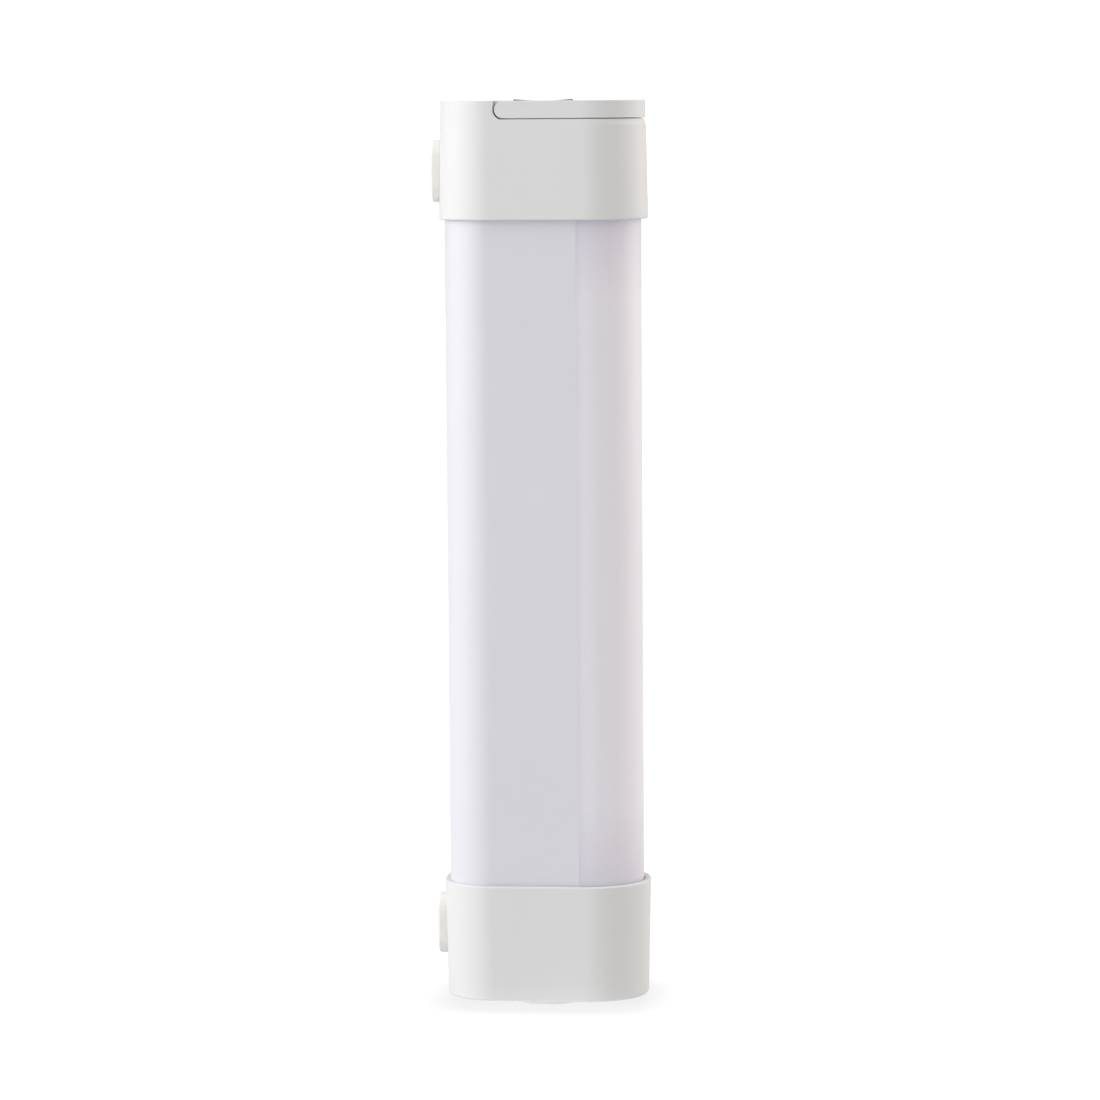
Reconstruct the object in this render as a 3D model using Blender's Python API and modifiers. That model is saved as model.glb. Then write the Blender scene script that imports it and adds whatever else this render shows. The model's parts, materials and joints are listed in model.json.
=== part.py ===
"""LED light tube: a rechargeable bar light with a folding bail, built as an assembly.

Frame: +Z up, +X towards the diffuser, -X towards the two rear pads.
The origin is the centre of the foot's flat underside.
"""
import math

import bmesh
import bpy
from mathutils import Matrix, Vector

MM = 0.001
GAP = 0.3 * MM

# Whole object
CAP_TO_CAP = 250 * MM
FOOT_PROUD = 1.5 * MM
CAP_BOTTOM_Z = FOOT_PROUD
CAP_TOP_Z = CAP_BOTTOM_Z + CAP_TO_CAP
MIDDLE_Z = (CAP_BOTTOM_Z + CAP_TOP_Z) / 2

# Cap section: length along X, depth along Y; the mouth is wider because the cap is drafted
CAP_HEIGHT = 32.6 * MM
CAP_END_LENGTH = 56.4 * MM
CAP_END_DEPTH = 32.6 * MM
CAP_DRAFT = 1.4 * MM
BACK_RADIUS = 13 * MM
FRONT_RADIUS = 16 * MM
TOP_EDGE = 0.3 * MM
BASE_EDGE = 0.8 * MM
CAP_WALL = 1.6 * MM
CAP_FLOOR = 3.5 * MM
ARC_STEPS = 7

# Tube section
TUBE_LENGTH_X = 53.5 * MM
TUBE_DEPTH_Y = 29.9 * MM
TUBE_BACK_RADIUS = 11.6 * MM
TUBE_FRONT_RADIUS = 14.7 * MM
TUBE_WALL = 1.8 * MM
TUBE_IN_CAP = 4.6 * MM
SEAM_X = 10 * MM
SEAM_GAP = 0.1 * MM
TUBE_LOW_Z = CAP_BOTTOM_Z + CAP_HEIGHT - TUBE_IN_CAP
TUBE_HIGH_Z = CAP_TOP_Z - CAP_HEIGHT + TUBE_IN_CAP

# Bulkheads close the tube's two ends; each has a plug inside the tube and a plate outside it
GASKET_THICK = 1.0 * MM
GASKET_WIDTH = 1.7 * MM
PLATE_THICK = 2.0 * MM
PLUG_LENGTH = 6.0 * MM
PLATE_LOW_Z = TUBE_HIGH_Z + GASKET_THICK + 2 * GAP
PLATE_HIGH_Z = PLATE_LOW_Z + PLATE_THICK
PLUG_LOW_Z = TUBE_HIGH_Z - PLUG_LENGTH
POST_X = 20 * MM
POST_RADIUS = 3.0 * MM
PILLAR_RADIUS = 2.4 * MM
SCREW_HEAD_RADIUS = 2.0 * MM
SCREW_HEAD = 1.1 * MM
SCREW_RADIUS = 1.0 * MM
SCREW_HOLE_RADIUS = 1.3 * MM
SCREW_SEAT_Z = PLATE_LOW_Z - 0.5 * MM

# Bail: a U-shaped folding handle, flush with the cap's top and front
BAIL_HEIGHT = 4.8 * MM
BAIL_WIDTH = 3.4 * MM
HINGE_X = -9.6 * MM
HINGE_Z = CAP_TOP_Z - BAIL_HEIGHT / 2
PIN_RADIUS = 1.0 * MM
PIN_CLEARANCE = 0.1 * MM
PIN_OUTER_Y = 15.0 * MM
PIN_INNER_Y = 11.1 * MM
RECESS_FLOOR_Z = CAP_TOP_Z - BAIL_HEIGHT - GAP
CAVITY_TOP_Z = RECESS_FLOOR_Z - 2 * MM
CROWN_TOP_Z = CAP_TOP_Z - 2.4 * MM

# Power button with a thumb scoop across its top
BUTTON_RADIUS = 8.3 * MM
BUTTON_PROUD = 0.4 * MM
BUTTON_FLANGE_RADIUS = 9.6 * MM
BUTTON_FLANGE_THICK = 1.2 * MM
SCOOP_DEPTH = 0.45 * MM
SCOOP_RADIUS = (BUTTON_RADIUS ** 2 + SCOOP_DEPTH ** 2) / (2 * SCOOP_DEPTH)
BUTTON_STEM_LOW_Z = 246.5 * MM

# Rear pads: upright oblongs with round ends, each with a magnet behind it
PAD_HALF_WIDTH = 5.0 * MM
PAD_HALF_HEIGHT = 8.6 * MM
PAD_PROUD = 2.3 * MM
PAD_SUNK = 0.6 * MM
PAD_FROM_END = 19.3 * MM
PAD_OUTER_X = -(CAP_END_LENGTH / 2 + 0.4 * MM + PAD_PROUD)
MAGNET_RADIUS = 4.8 * MM
MAGNET_THICK = 2.0 * MM
MAGNET_OUTER_X = -26.5 * MM

# Foot
FOOT_RADIUS = 13.2 * MM
FOOT_SUNK = 0.7 * MM
FOOT_SCREW_X = 7 * MM

# Light engine
CARRIER_X = 3.0 * MM
CARRIER_THICK = 1.2 * MM
CARRIER_HALF_WIDTH = 12.5 * MM
CARRIER_FRONT_X = 9.4 * MM
CARRIER_IN_PLUG = 4.5 * MM
CARRIER_SCREW_Z = PLUG_LOW_Z + 2.2 * MM
LED_BOARD_THICK = 1.0 * MM
LED_BOARD_WIDTH = 20 * MM
LED_BOARD_LENGTH = 176 * MM
LED_ROWS_Y = (-5 * MM, 5 * MM)
LED_COUNT = 16
LED_PITCH = 10.8 * MM
LED_SIZE = Vector((0.7, 2.8, 3.5)) * MM

# Battery: two cylindrical cells, 18.4 mm across and 65 mm long, end to end in a cradle
CELL_RADIUS = 9.2 * MM
CELL_LENGTH = 65 * MM
CELL_X = -12.6 * MM
STRIP_THICK = 0.3 * MM
CRADLE_WALL = 1.6 * MM
CRADLE_LOW_Z = 50 * MM
CRADLE_BACK_X = -24.2 * MM
CRADLE_FRONT_X = -3.4 * MM
CRADLE_HALF_WIDTH = 12.4 * MM
CRADLE_BACK_RADIUS = 9 * MM

# Control board under the button
BOARD_LOW_Z = 240 * MM
BOARD_THICK = 1.2 * MM
BOARD_LENGTH = 33 * MM
BOARD_WIDTH = 24 * MM
BOARD_PILLARS = ((-13 * MM, -8 * MM), (13 * MM, 8 * MM))
SWITCH_SIZE = 6.2 * MM
SWITCH_HEIGHT = 3.4 * MM
PLUNGER_RADIUS = 1.7 * MM
PORT_WIDTH = 9.0 * MM
PORT_HEIGHT = 3.2 * MM
PORT_DEPTH = 7.2 * MM
PORT_MOUTH_Y = 16.2 * MM
LEAD_RADIUS = 0.7 * MM


# ---------------------------------------------------------------- scene helpers

def clear_scene():
    for item in list(bpy.data.objects):
        bpy.data.objects.remove(item, do_unlink=True)


def new_collection(name):
    collection = bpy.data.collections.new(name)
    bpy.context.scene.collection.children.link(collection)
    return collection


def material(name, colour, roughness, metallic=0.0):
    result = bpy.data.materials.new(name)
    result.use_nodes = True
    shader = result.node_tree.nodes["Principled BSDF"]
    shader.inputs["Base Color"].default_value = (*colour, 1.0)
    shader.inputs["Roughness"].default_value = roughness
    shader.inputs["Metallic"].default_value = metallic
    return result


def add_object(name, bm, look, origin=(0.0, 0.0, 0.0), collection=None):
    """Turn a bmesh modelled in world space into an object whose origin is `origin`."""
    bm.normal_update()
    if all(edge.is_manifold for edge in bm.edges):
        bmesh.ops.recalc_face_normals(bm, faces=bm.faces)
    bmesh.ops.translate(bm, vec=-Vector(origin), verts=bm.verts)
    mesh = bpy.data.meshes.new(name)
    bm.to_mesh(mesh)
    bm.free()
    mesh.shade_smooth()
    mesh.set_sharp_from_angle(angle=math.radians(35))
    item = bpy.data.objects.new(name, mesh)
    item.location = origin
    if look is not None:
        mesh.materials.append(look)
    (collection or PARTS).objects.link(item)
    if collection is None:
        item.parent = ROOT
    return item


def add_cutter(name, bm):
    cutter = add_object(name, bm, None, collection=CUTTERS)
    cutter.hide_render = True
    cutter.display_type = "WIRE"
    return cutter


def combine(target, cutter, operation="DIFFERENCE"):
    modifier = target.modifiers.new(cutter.name, "BOOLEAN")
    modifier.operation = operation
    modifier.solver = "EXACT"
    modifier.object = cutter


# ---------------------------------------------------------------- shape helpers

def section(length, depth, back_radius, front_radius, inset=0.0):
    """Bar-light outline, counter-clockwise: small corners at the back, a round nose at the front."""
    half_length = length / 2 - inset
    half_depth = depth / 2 - inset
    back = back_radius - inset
    front = front_radius - inset
    corners = (
        (-half_length + back, -half_depth + back, back, 180),
        (half_length - front, -half_depth + front, front, 270),
        (half_length - front, half_depth - front, front, 0),
        (-half_length + back, half_depth - back, back, 90),
    )
    points = []
    for centre_x, centre_y, radius, start in corners:
        for step in range(ARC_STEPS + 1):
            angle = math.radians(start + 90 * step / ARC_STEPS)
            points.append((centre_x + radius * math.cos(angle), centre_y + radius * math.sin(angle)))
    return points


def cap_section(distance_from_end, inset=0.0):
    growth = CAP_DRAFT * distance_from_end / CAP_HEIGHT
    length = CAP_END_LENGTH + growth
    depth = CAP_END_DEPTH + growth
    return section(length, depth, BACK_RADIUS + growth / 2, FRONT_RADIUS + growth / 2, inset)


def tube_section(inset=0.0):
    return section(TUBE_LENGTH_X, TUBE_DEPTH_Y, TUBE_BACK_RADIUS, TUBE_FRONT_RADIUS, inset)


def prism(low, high, z_low, z_high):
    """Loft between two outlines with the same number of points."""
    bm = bmesh.new()
    bmesh.ops.create_cone(bm, cap_ends=True, segments=len(low), radius1=1.0, radius2=1.0, depth=2.0)
    bottom = [vert for vert in bm.verts if vert.co.z < 0]
    top = [vert for vert in bm.verts if vert.co.z > 0]
    for ring, outline, z in ((bottom, low, z_low), (top, high, z_high)):
        for vert, (x, y) in zip(ring, outline):
            vert.co = (x, y, z)
    bm.normal_update()
    bmesh.ops.recalc_face_normals(bm, faces=bm.faces)
    return bm


def bevel_level(bm, z, width, steps=2):
    edges = [edge for edge in bm.edges if all(abs(vert.co.z - z) < 1e-6 for vert in edge.verts)]
    bmesh.ops.bevel(bm, geom=edges, offset=width, segments=steps, profile=0.5, affect="EDGES")


def side_slot(radius, z_low, z_high, x_far, half_y):
    """Slot seen from the side: its rear end is round about the hinge below the hinge's level."""
    points = [(x_far, z_low), (x_far, z_high), (HINGE_X - radius, z_high)]
    for step in range(1, ARC_STEPS + 1):
        angle = math.radians(180 + 90 * step / ARC_STEPS)
        points.append((HINGE_X + radius * math.cos(angle), HINGE_Z + radius * math.sin(angle)))
    return side_prism(points, half_y)


def side_prism(points, half_y):
    bm = prism(points, points, -half_y, half_y)
    bmesh.ops.rotate(bm, matrix=Matrix.Rotation(math.radians(90), 3, "X"), verts=bm.verts)
    return bm


def box(size, centre):
    bm = bmesh.new()
    add_box(bm, size, centre)
    return bm


def add_box(bm, size, centre):
    matrix = Matrix.Translation(centre) @ Matrix.Diagonal((*size, 1.0))
    bmesh.ops.create_cube(bm, size=1.0, matrix=matrix)


def cylinder(radius, low, high, axis="Z", segments=24):
    bm = bmesh.new()
    add_cylinder(bm, radius, low, high, axis, segments)
    return bm


def add_cylinder(bm, radius, low, high, axis="Z", segments=24):
    """Cylinder between two points that differ along one axis only."""
    turns = {"Z": Matrix.Identity(4), "X": Matrix.Rotation(math.radians(90), 4, "Y"),
             "Y": Matrix.Rotation(math.radians(90), 4, "X")}
    low = Vector(low)
    high = Vector(high)
    matrix = Matrix.Translation((low + high) / 2) @ turns[axis]
    bmesh.ops.create_cone(bm, cap_ends=True, segments=segments, radius1=radius, radius2=radius,
                          depth=(high - low).length, matrix=matrix)


def mirrored(z):
    """Level at the bottom end that matches a level at the top end."""
    return 2 * MIDDLE_Z - z


def mirror_in_z(bm):
    """Turn a shape made for the top end into the matching one for the bottom end."""
    for vert in bm.verts:
        vert.co.z = mirrored(vert.co.z)
    return bm


def keep(bm):
    return bm


def lead(name, route, look):
    """Insulated lead: a round tube along a smooth route given in millimetres."""
    curve = bpy.data.curves.new(name, "CURVE")
    curve.dimensions = "3D"
    curve.bevel_depth = LEAD_RADIUS
    curve.bevel_resolution = 1
    curve.use_fill_caps = True
    points = smooth_route(route)
    spline = curve.splines.new("POLY")
    spline.points.add(len(points) - 1)
    for point, place in zip(spline.points, points):
        point.co = (*place, 1.0)
    curve.materials.append(look)
    item = bpy.data.objects.new(name, curve)
    PARTS.objects.link(item)
    item.parent = ROOT


def smooth_route(route, steps=4):
    """Catmull-Rom curve through the route's points."""
    knots = [Vector(place) * MM for place in route]
    knots = [2 * knots[0] - knots[1]] + knots + [2 * knots[-1] - knots[-2]]
    points = []
    for index in range(1, len(knots) - 2):
        before, start, end, after = knots[index - 1:index + 3]
        for step in range(steps):
            t = step / steps
            points.append(0.5 * (2 * start + (end - before) * t
                                 + (2 * before - 5 * start + 4 * end - after) * t * t
                                 + (3 * start - before - 3 * end + after) * t ** 3))
    points.append(knots[-2])
    return points


# ---------------------------------------------------------------- caps and bail

def cap_block(edge):
    """Outer form of the top cap, drafted and with a rounded top edge."""
    bm = prism(cap_section(CAP_HEIGHT), cap_section(0), CAP_TOP_Z - CAP_HEIGHT, CAP_TOP_Z)
    bevel_level(bm, CAP_TOP_Z, edge)
    return bm


def bail_recess():
    """Channel that the folded bail lies in, round the sides and nose of the cap's crown."""
    recess = add_cutter("bail_recess_cutter", side_slot(
        BAIL_HEIGHT / 2 + GAP, RECESS_FLOOR_Z, CAP_TOP_Z + 4 * MM, 40 * MM, 25 * MM))
    core = cap_section(0, BAIL_WIDTH + GAP)
    combine(recess, add_cutter("crown_guide", prism(core, core, RECESS_FLOOR_Z - MM, CAP_TOP_Z + 6 * MM)))
    return recess


def top_cap(look):
    cap = add_object("top_cap", cap_block(TOP_EDGE), look, (0, 0, CAP_TOP_Z))
    mouth_z = CAP_TOP_Z - CAP_HEIGHT
    cavity = prism(cap_section(CAP_HEIGHT + MM, CAP_WALL), cap_section(CAP_TOP_Z - CAVITY_TOP_Z, CAP_WALL),
                   mouth_z - MM, CAVITY_TOP_Z)
    combine(cap, add_cutter("top_cavity_cutter", cavity))
    crown = cap_section(0, BAIL_WIDTH + GAP + CAP_WALL)
    combine(cap, add_cutter("crown_cavity_cutter", prism(crown, crown, CAVITY_TOP_Z - MM, CROWN_TOP_Z)))
    combine(cap, bail_recess())
    bore = cylinder(BUTTON_RADIUS + GAP, (0, 0, CROWN_TOP_Z - MM), (0, 0, CAP_TOP_Z + MM), segments=40)
    combine(cap, add_cutter("button_bore_cutter", bore))
    posts = bmesh.new()
    for side in (-1, 1):
        low = (side * POST_X, 0, PLATE_HIGH_Z + GAP)
        add_cylinder(posts, POST_RADIUS, low, (side * POST_X, 0, CROWN_TOP_Z + MM), segments=16)
    combine(cap, add_cutter("top_posts", posts), "UNION")
    holes = bmesh.new()
    for side in (-1, 1):
        low = (side * POST_X, 0, PLATE_HIGH_Z - MM)
        add_cylinder(holes, SCREW_HOLE_RADIUS, low, (side * POST_X, 0, PLATE_HIGH_Z + 9 * MM), segments=12)
    for side in (-1, 1):
        inner = (HINGE_X, side * (PIN_INNER_Y - 2 * MM), HINGE_Z)
        outer = (HINGE_X, side * (PIN_OUTER_Y - MM), HINGE_Z)
        add_cylinder(holes, PIN_RADIUS + 0.15 * MM, inner, outer, "Y", 16)
    combine(cap, add_cutter("top_hole_cutter", holes))
    slot = rounded_bar(PORT_WIDTH + 0.6 * MM, PORT_HEIGHT + 0.6 * MM, 12 * MM, 20 * MM)
    combine(cap, add_cutter("port_slot_cutter", slot))
    combine(cap, add_cutter("upper_pad_pocket", pad_block(CAP_TOP_Z - PAD_FROM_END, GAP)))
    return cap


def bottom_cap(look):
    cap = add_object("bottom_cap", mirror_in_z(cap_block(BASE_EDGE)), look, (0, 0, CAP_BOTTOM_Z))
    cavity = prism(cap_section(CAP_FLOOR, CAP_WALL), cap_section(CAP_HEIGHT + MM, CAP_WALL),
                   CAP_BOTTOM_Z + CAP_FLOOR, CAP_BOTTOM_Z + CAP_HEIGHT + MM)
    combine(cap, add_cutter("bottom_cavity_cutter", cavity))
    recess_top = CAP_BOTTOM_Z + FOOT_SUNK + GAP
    recess = cylinder(FOOT_RADIUS + GAP, (0, 0, -MM), (0, 0, recess_top), segments=40)
    combine(cap, add_cutter("foot_recess_cutter", recess))
    holes = bmesh.new()
    for side in (-1, 1):
        x = side * FOOT_SCREW_X
        add_cylinder(holes, 2.5 * MM, (x, 0, recess_top - 0.5 * MM), (x, 0, recess_top + 1.4 * MM))
    combine(cap, add_cutter("screw_head_cutter", holes))
    shanks = bmesh.new()
    for side in (-1, 1):
        x = side * FOOT_SCREW_X
        add_cylinder(shanks, SCREW_HOLE_RADIUS, (x, 0, recess_top), (x, 0, 8 * MM), segments=12)
    combine(cap, add_cutter("screw_shank_cutter", shanks))
    combine(cap, add_cutter("lower_pad_pocket", pad_block(CAP_BOTTOM_Z + PAD_FROM_END, GAP)))
    return cap


def bail(look):
    """U-shaped handle; its two blind holes turn on the hinge pins."""
    handle = add_object("bail", cap_block(TOP_EDGE), look, (HINGE_X, 0, HINGE_Z))
    points = [(40 * MM, HINGE_Z - BAIL_HEIGHT / 2), (40 * MM, CAP_TOP_Z + MM), (HINGE_X, CAP_TOP_Z + MM),
              (HINGE_X, HINGE_Z + BAIL_HEIGHT / 2)]
    for step in range(1, 2 * ARC_STEPS + 1):
        angle = math.radians(90 + 90 * step / ARC_STEPS)
        points.append((HINGE_X + BAIL_HEIGHT / 2 * math.cos(angle),
                       HINGE_Z + BAIL_HEIGHT / 2 * math.sin(angle)))
    combine(handle, add_cutter("bail_side_guide", side_prism(points, 25 * MM)), "INTERSECT")
    inner = cap_section(0, BAIL_WIDTH)
    core = prism(inner, inner, CAP_TOP_Z - 9 * MM, CAP_TOP_Z + 2 * MM)
    combine(handle, add_cutter("bail_inner_cutter", core))
    holes = bmesh.new()
    for side in (-1, 1):
        low = (HINGE_X, side * (PIN_INNER_Y + MM), HINGE_Z)
        high = (HINGE_X, side * (PIN_OUTER_Y + GAP), HINGE_Z)
        add_cylinder(holes, PIN_RADIUS + PIN_CLEARANCE, low, high, "Y", 16)
    combine(handle, add_cutter("bail_hole_cutter", holes))
    return handle


def hinge_pins(look):
    for name, side in (("hinge_pin_near", -1), ("hinge_pin_far", 1)):
        low = (HINGE_X, side * PIN_INNER_Y, HINGE_Z)
        pin = cylinder(PIN_RADIUS, low, (HINGE_X, side * PIN_OUTER_Y, HINGE_Z), "Y", 16)
        add_object(name, pin, look, low)


# ---------------------------------------------------------------- tube

def open_shell(points, z_low, z_high):
    """Sheet that stands on an open outline; its faces look to the right of the outline's direction."""
    bm = bmesh.new()
    bmesh.ops.create_grid(bm, x_segments=len(points) - 1, y_segments=1, size=1.0)
    corners = list(bm.verts)
    places = {}
    for z, side in ((z_low, -1), (z_high, 1)):
        row = sorted((vert for vert in corners if vert.co.y * side > 0), key=lambda vert: vert.co.x)
        for vert, (x, y) in zip(row, points):
            places[vert] = (x, y, z)
    for vert, place in places.items():
        vert.co = place
    bm.normal_update()
    along = Vector(points[1]) - Vector(points[0])
    first = min(bm.faces, key=lambda face: (face.calc_center_median().xy - Vector(points[0])).length)
    if first.normal.x * along.y - first.normal.y * along.x < 0:
        bmesh.ops.reverse_faces(bm, faces=bm.faces)
    return bm


def thicken(item, thickness, offset):
    modifier = item.modifiers.new("wall", "SOLIDIFY")
    modifier.thickness = thickness
    modifier.offset = offset
    modifier.use_even_offset = True


def tube_shells(rear_look, diffuser_look):
    """Opaque rear half and translucent nose, which meet at a straight seam on both flat sides."""
    outline = tube_section()
    corner = ARC_STEPS + 1
    half_y = TUBE_DEPTH_Y / 2
    back_low = outline[:corner]
    nose = outline[corner:3 * corner]
    back_high = outline[3 * corner:]
    rear_edge = SEAM_X - SEAM_GAP / 2
    front_edge = SEAM_X + SEAM_GAP / 2
    rear_points = [(rear_edge, half_y)] + back_high + back_low + [(rear_edge, -half_y)]
    front_points = [(front_edge, -half_y)] + nose + [(front_edge, half_y)]
    for name, points, look in (("rear_housing", rear_points, rear_look),
                               ("diffuser", front_points, diffuser_look)):
        shell = add_object(name, open_shell(points, TUBE_LOW_Z, TUBE_HIGH_Z), look)
        thicken(shell, TUBE_WALL, -1)


def gasket(name, look, bottom):
    """Flat seal between a tube end and its bulkhead."""
    turn = mirror_in_z if bottom else keep
    outer = tube_section()
    low = TUBE_HIGH_Z + GAP
    ring = add_object(name, turn(prism(outer, outer, low, low + GASKET_THICK)), look)
    inner = tube_section(GASKET_WIDTH)
    hole = turn(prism(inner, inner, TUBE_HIGH_Z - MM, TUBE_HIGH_Z + 3 * MM))
    combine(ring, add_cutter(name + "_cutter", hole))


def bulkhead(name, look, bottom):
    """Plate and plug that close one end of the tube and hold the carrier's end."""
    turn = mirror_in_z if bottom else keep
    plate = tube_section(0.2 * MM)
    part = add_object(name, turn(prism(plate, plate, PLATE_LOW_Z, PLATE_HIGH_Z)), look)
    plug = tube_section(TUBE_WALL + GAP)
    combine(part, add_cutter(name + "_plug", turn(prism(plug, plug, PLUG_LOW_Z, PLATE_LOW_Z + MM))), "UNION")
    slot_size = (CARRIER_FRONT_X - CARRIER_X + 2 * GAP, 2 * (CARRIER_HALF_WIDTH + GAP), 2 * CARRIER_IN_PLUG)
    slot_centre = ((CARRIER_X + CARRIER_FRONT_X) / 2, 0, PLUG_LOW_Z + GAP)
    combine(part, add_cutter(name + "_carrier_slot", turn(box(slot_size, slot_centre))))
    hole_end = (CARRIER_X, 0, CARRIER_SCREW_Z)
    hole = cylinder(SCREW_HOLE_RADIUS, (CARRIER_X - 8 * MM, 0, CARRIER_SCREW_Z), hole_end, "X", 12)
    combine(part, add_cutter(name + "_screw_hole", turn(hole)))
    return part


def top_bulkhead(look):
    part = bulkhead("top_bulkhead", look, False)
    windows = box((8 * MM, 4.4 * MM, 20 * MM), (-5 * MM, -8.6 * MM, PLATE_LOW_Z))
    add_box(windows, (3 * MM, 5 * MM, 20 * MM), (14 * MM, 0, PLATE_LOW_Z))
    combine(part, add_cutter("lead_windows", windows))
    heads = bmesh.new()
    holes = bmesh.new()
    pillars = bmesh.new()
    for side in (-1, 1):
        x = side * POST_X
        add_cylinder(heads, 2.5 * MM, (x, 0, PLUG_LOW_Z - MM), (x, 0, SCREW_SEAT_Z), segments=16)
        low = (x, 0, SCREW_SEAT_Z - MM)
        add_cylinder(holes, SCREW_HOLE_RADIUS, low, (x, 0, PLATE_HIGH_Z + MM), segments=12)
    for x, y in BOARD_PILLARS:
        high = (x, y, BOARD_LOW_Z - GAP)
        add_cylinder(pillars, PILLAR_RADIUS, (x, y, PLATE_HIGH_Z - MM), high, segments=14)
        low = (x, y, BOARD_LOW_Z - 6 * MM)
        add_cylinder(holes, SCREW_HOLE_RADIUS, low, (x, y, BOARD_LOW_Z), segments=12)
    combine(part, add_cutter("board_pillars", pillars), "UNION")
    combine(part, add_cutter("bulkhead_head_cutter", heads))
    combine(part, add_cutter("bulkhead_holes", holes))


def bottom_bulkhead(look):
    part = bulkhead("bottom_bulkhead", look, True)
    foot_z = CAP_BOTTOM_Z + CAP_FLOOR + GAP
    pillars = bmesh.new()
    holes = bmesh.new()
    for side in (-1, 1):
        x = side * FOOT_SCREW_X
        add_cylinder(pillars, 3.2 * MM, (x, 0, foot_z), (x, 0, mirrored(PLATE_HIGH_Z) + MM), segments=16)
        add_cylinder(holes, SCREW_HOLE_RADIUS, (x, 0, foot_z - MM), (x, 0, foot_z + 8 * MM), segments=12)
    combine(part, add_cutter("screw_pillars", pillars), "UNION")
    combine(part, add_cutter("screw_pillar_holes", holes))


# ---------------------------------------------------------------- light engine

def led_carrier(look):
    """Aluminium channel: its web carries the LED board, its two legs stiffen it."""
    points = [(CARRIER_FRONT_X, CARRIER_HALF_WIDTH), (CARRIER_X, CARRIER_HALF_WIDTH),
              (CARRIER_X, -CARRIER_HALF_WIDTH), (CARRIER_FRONT_X, -CARRIER_HALF_WIDTH)]
    high = PLUG_LOW_Z + CARRIER_IN_PLUG
    sheet = open_shell(points, mirrored(high), high)
    channel = add_object("led_carrier", sheet, look, (CARRIER_X, 0, MIDDLE_Z))
    thicken(channel, CARRIER_THICK, -1)
    holes = bmesh.new()
    for z in (CARRIER_SCREW_Z, mirrored(CARRIER_SCREW_Z)):
        add_cylinder(holes, SCREW_HOLE_RADIUS, (CARRIER_X - MM, 0, z), (CARRIER_X + 3 * MM, 0, z), "X", 12)
    combine(channel, add_cutter("carrier_screw_holes", holes))


def led_board(look):
    """Board with its two rows of LED packages soldered on."""
    x = CARRIER_X + CARRIER_THICK + GAP + LED_BOARD_THICK / 2
    size = (LED_BOARD_THICK, LED_BOARD_WIDTH, LED_BOARD_LENGTH)
    board = add_object("led_board", box(size, (x, 0, MIDDLE_Z)), look, (x, 0, MIDDLE_Z))
    chips = bmesh.new()
    for y in LED_ROWS_Y:
        for index in range(LED_COUNT):
            z = MIDDLE_Z + (index - (LED_COUNT - 1) / 2) * LED_PITCH
            add_box(chips, LED_SIZE, (x + LED_BOARD_THICK / 2 + 0.3 * LED_SIZE.x, y, z))
    combine(board, add_cutter("led_chips", chips), "UNION")


# ---------------------------------------------------------------- battery

def cell_levels():
    """Bottom level of each strip and each cell, stacked upwards from the cradle's floor."""
    step = STRIP_THICK + GAP
    first = CRADLE_LOW_Z + CRADLE_WALL + GAP
    lower = first + step
    middle = lower + CELL_LENGTH + GAP
    upper = middle + step
    last = upper + CELL_LENGTH + GAP
    return (first, middle, last), (lower, upper)


def battery_cradle(look):
    strips, _ = cell_levels()
    top = strips[2] + STRIP_THICK + GAP + CRADLE_WALL
    centre = ((CRADLE_BACK_X + CRADLE_FRONT_X) / 2, 0, (CRADLE_LOW_Z + top) / 2)
    size = (CRADLE_FRONT_X - CRADLE_BACK_X, 2 * CRADLE_HALF_WIDTH, top - CRADLE_LOW_Z)
    bm = box(size, centre)
    back = [edge for edge in bm.edges
            if all(vert.co.x < centre[0] for vert in edge.verts)
            and abs(edge.verts[0].co.z - edge.verts[1].co.z) > MM]
    bmesh.ops.bevel(bm, geom=back, offset=CRADLE_BACK_RADIUS, segments=5, profile=0.5, affect="EDGES")
    cradle = add_object("battery_cradle", bm, look, centre)
    low = CRADLE_LOW_Z + CRADLE_WALL
    high = top - CRADLE_WALL
    bore = cylinder(CELL_RADIUS + GAP, (CELL_X, 0, low), (CELL_X, 0, high), segments=32)
    combine(cradle, add_cutter("cell_bore_cutter", bore))
    mouth = box((12 * MM, 1.7 * CELL_RADIUS, high - low), (CRADLE_FRONT_X - MM, 0, (low + high) / 2))
    combine(cradle, add_cutter("cell_mouth_cutter", mouth))


def cells(look):
    _, levels = cell_levels()
    for name, z in zip(("lower_cell", "upper_cell"), levels):
        bm = cylinder(CELL_RADIUS, (CELL_X, 0, z), (CELL_X, 0, z + CELL_LENGTH), segments=32)
        add_object(name, bm, look, (CELL_X, 0, z))


def cell_strips(look):
    levels, _ = cell_levels()
    for name, z in zip(("lower_strip", "middle_strip", "upper_strip"), levels):
        centre = (CELL_X, 0, z + STRIP_THICK / 2)
        add_object(name, box((12 * MM, 8 * MM, STRIP_THICK), centre), look, centre)


# ---------------------------------------------------------------- controls

def rounded_bar(width, height, y_low, y_high):
    """Flat-oval bar along Y, in the charging port's place under the control board."""
    z = BOARD_LOW_Z - GAP - PORT_HEIGHT / 2
    radius = height / 2 - 0.1 * MM
    points = []
    for side, start in ((1, -90), (-1, 90)):
        for step in range(ARC_STEPS + 1):
            angle = math.radians(start + 180 * step / ARC_STEPS)
            points.append((side * (width / 2 - radius) + radius * math.cos(angle),
                           radius * math.sin(angle) + z))
    bm = prism(points, points, -y_high, -y_low)
    bmesh.ops.rotate(bm, matrix=Matrix.Rotation(math.radians(90), 3, "X"), verts=bm.verts)
    return bm


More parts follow.
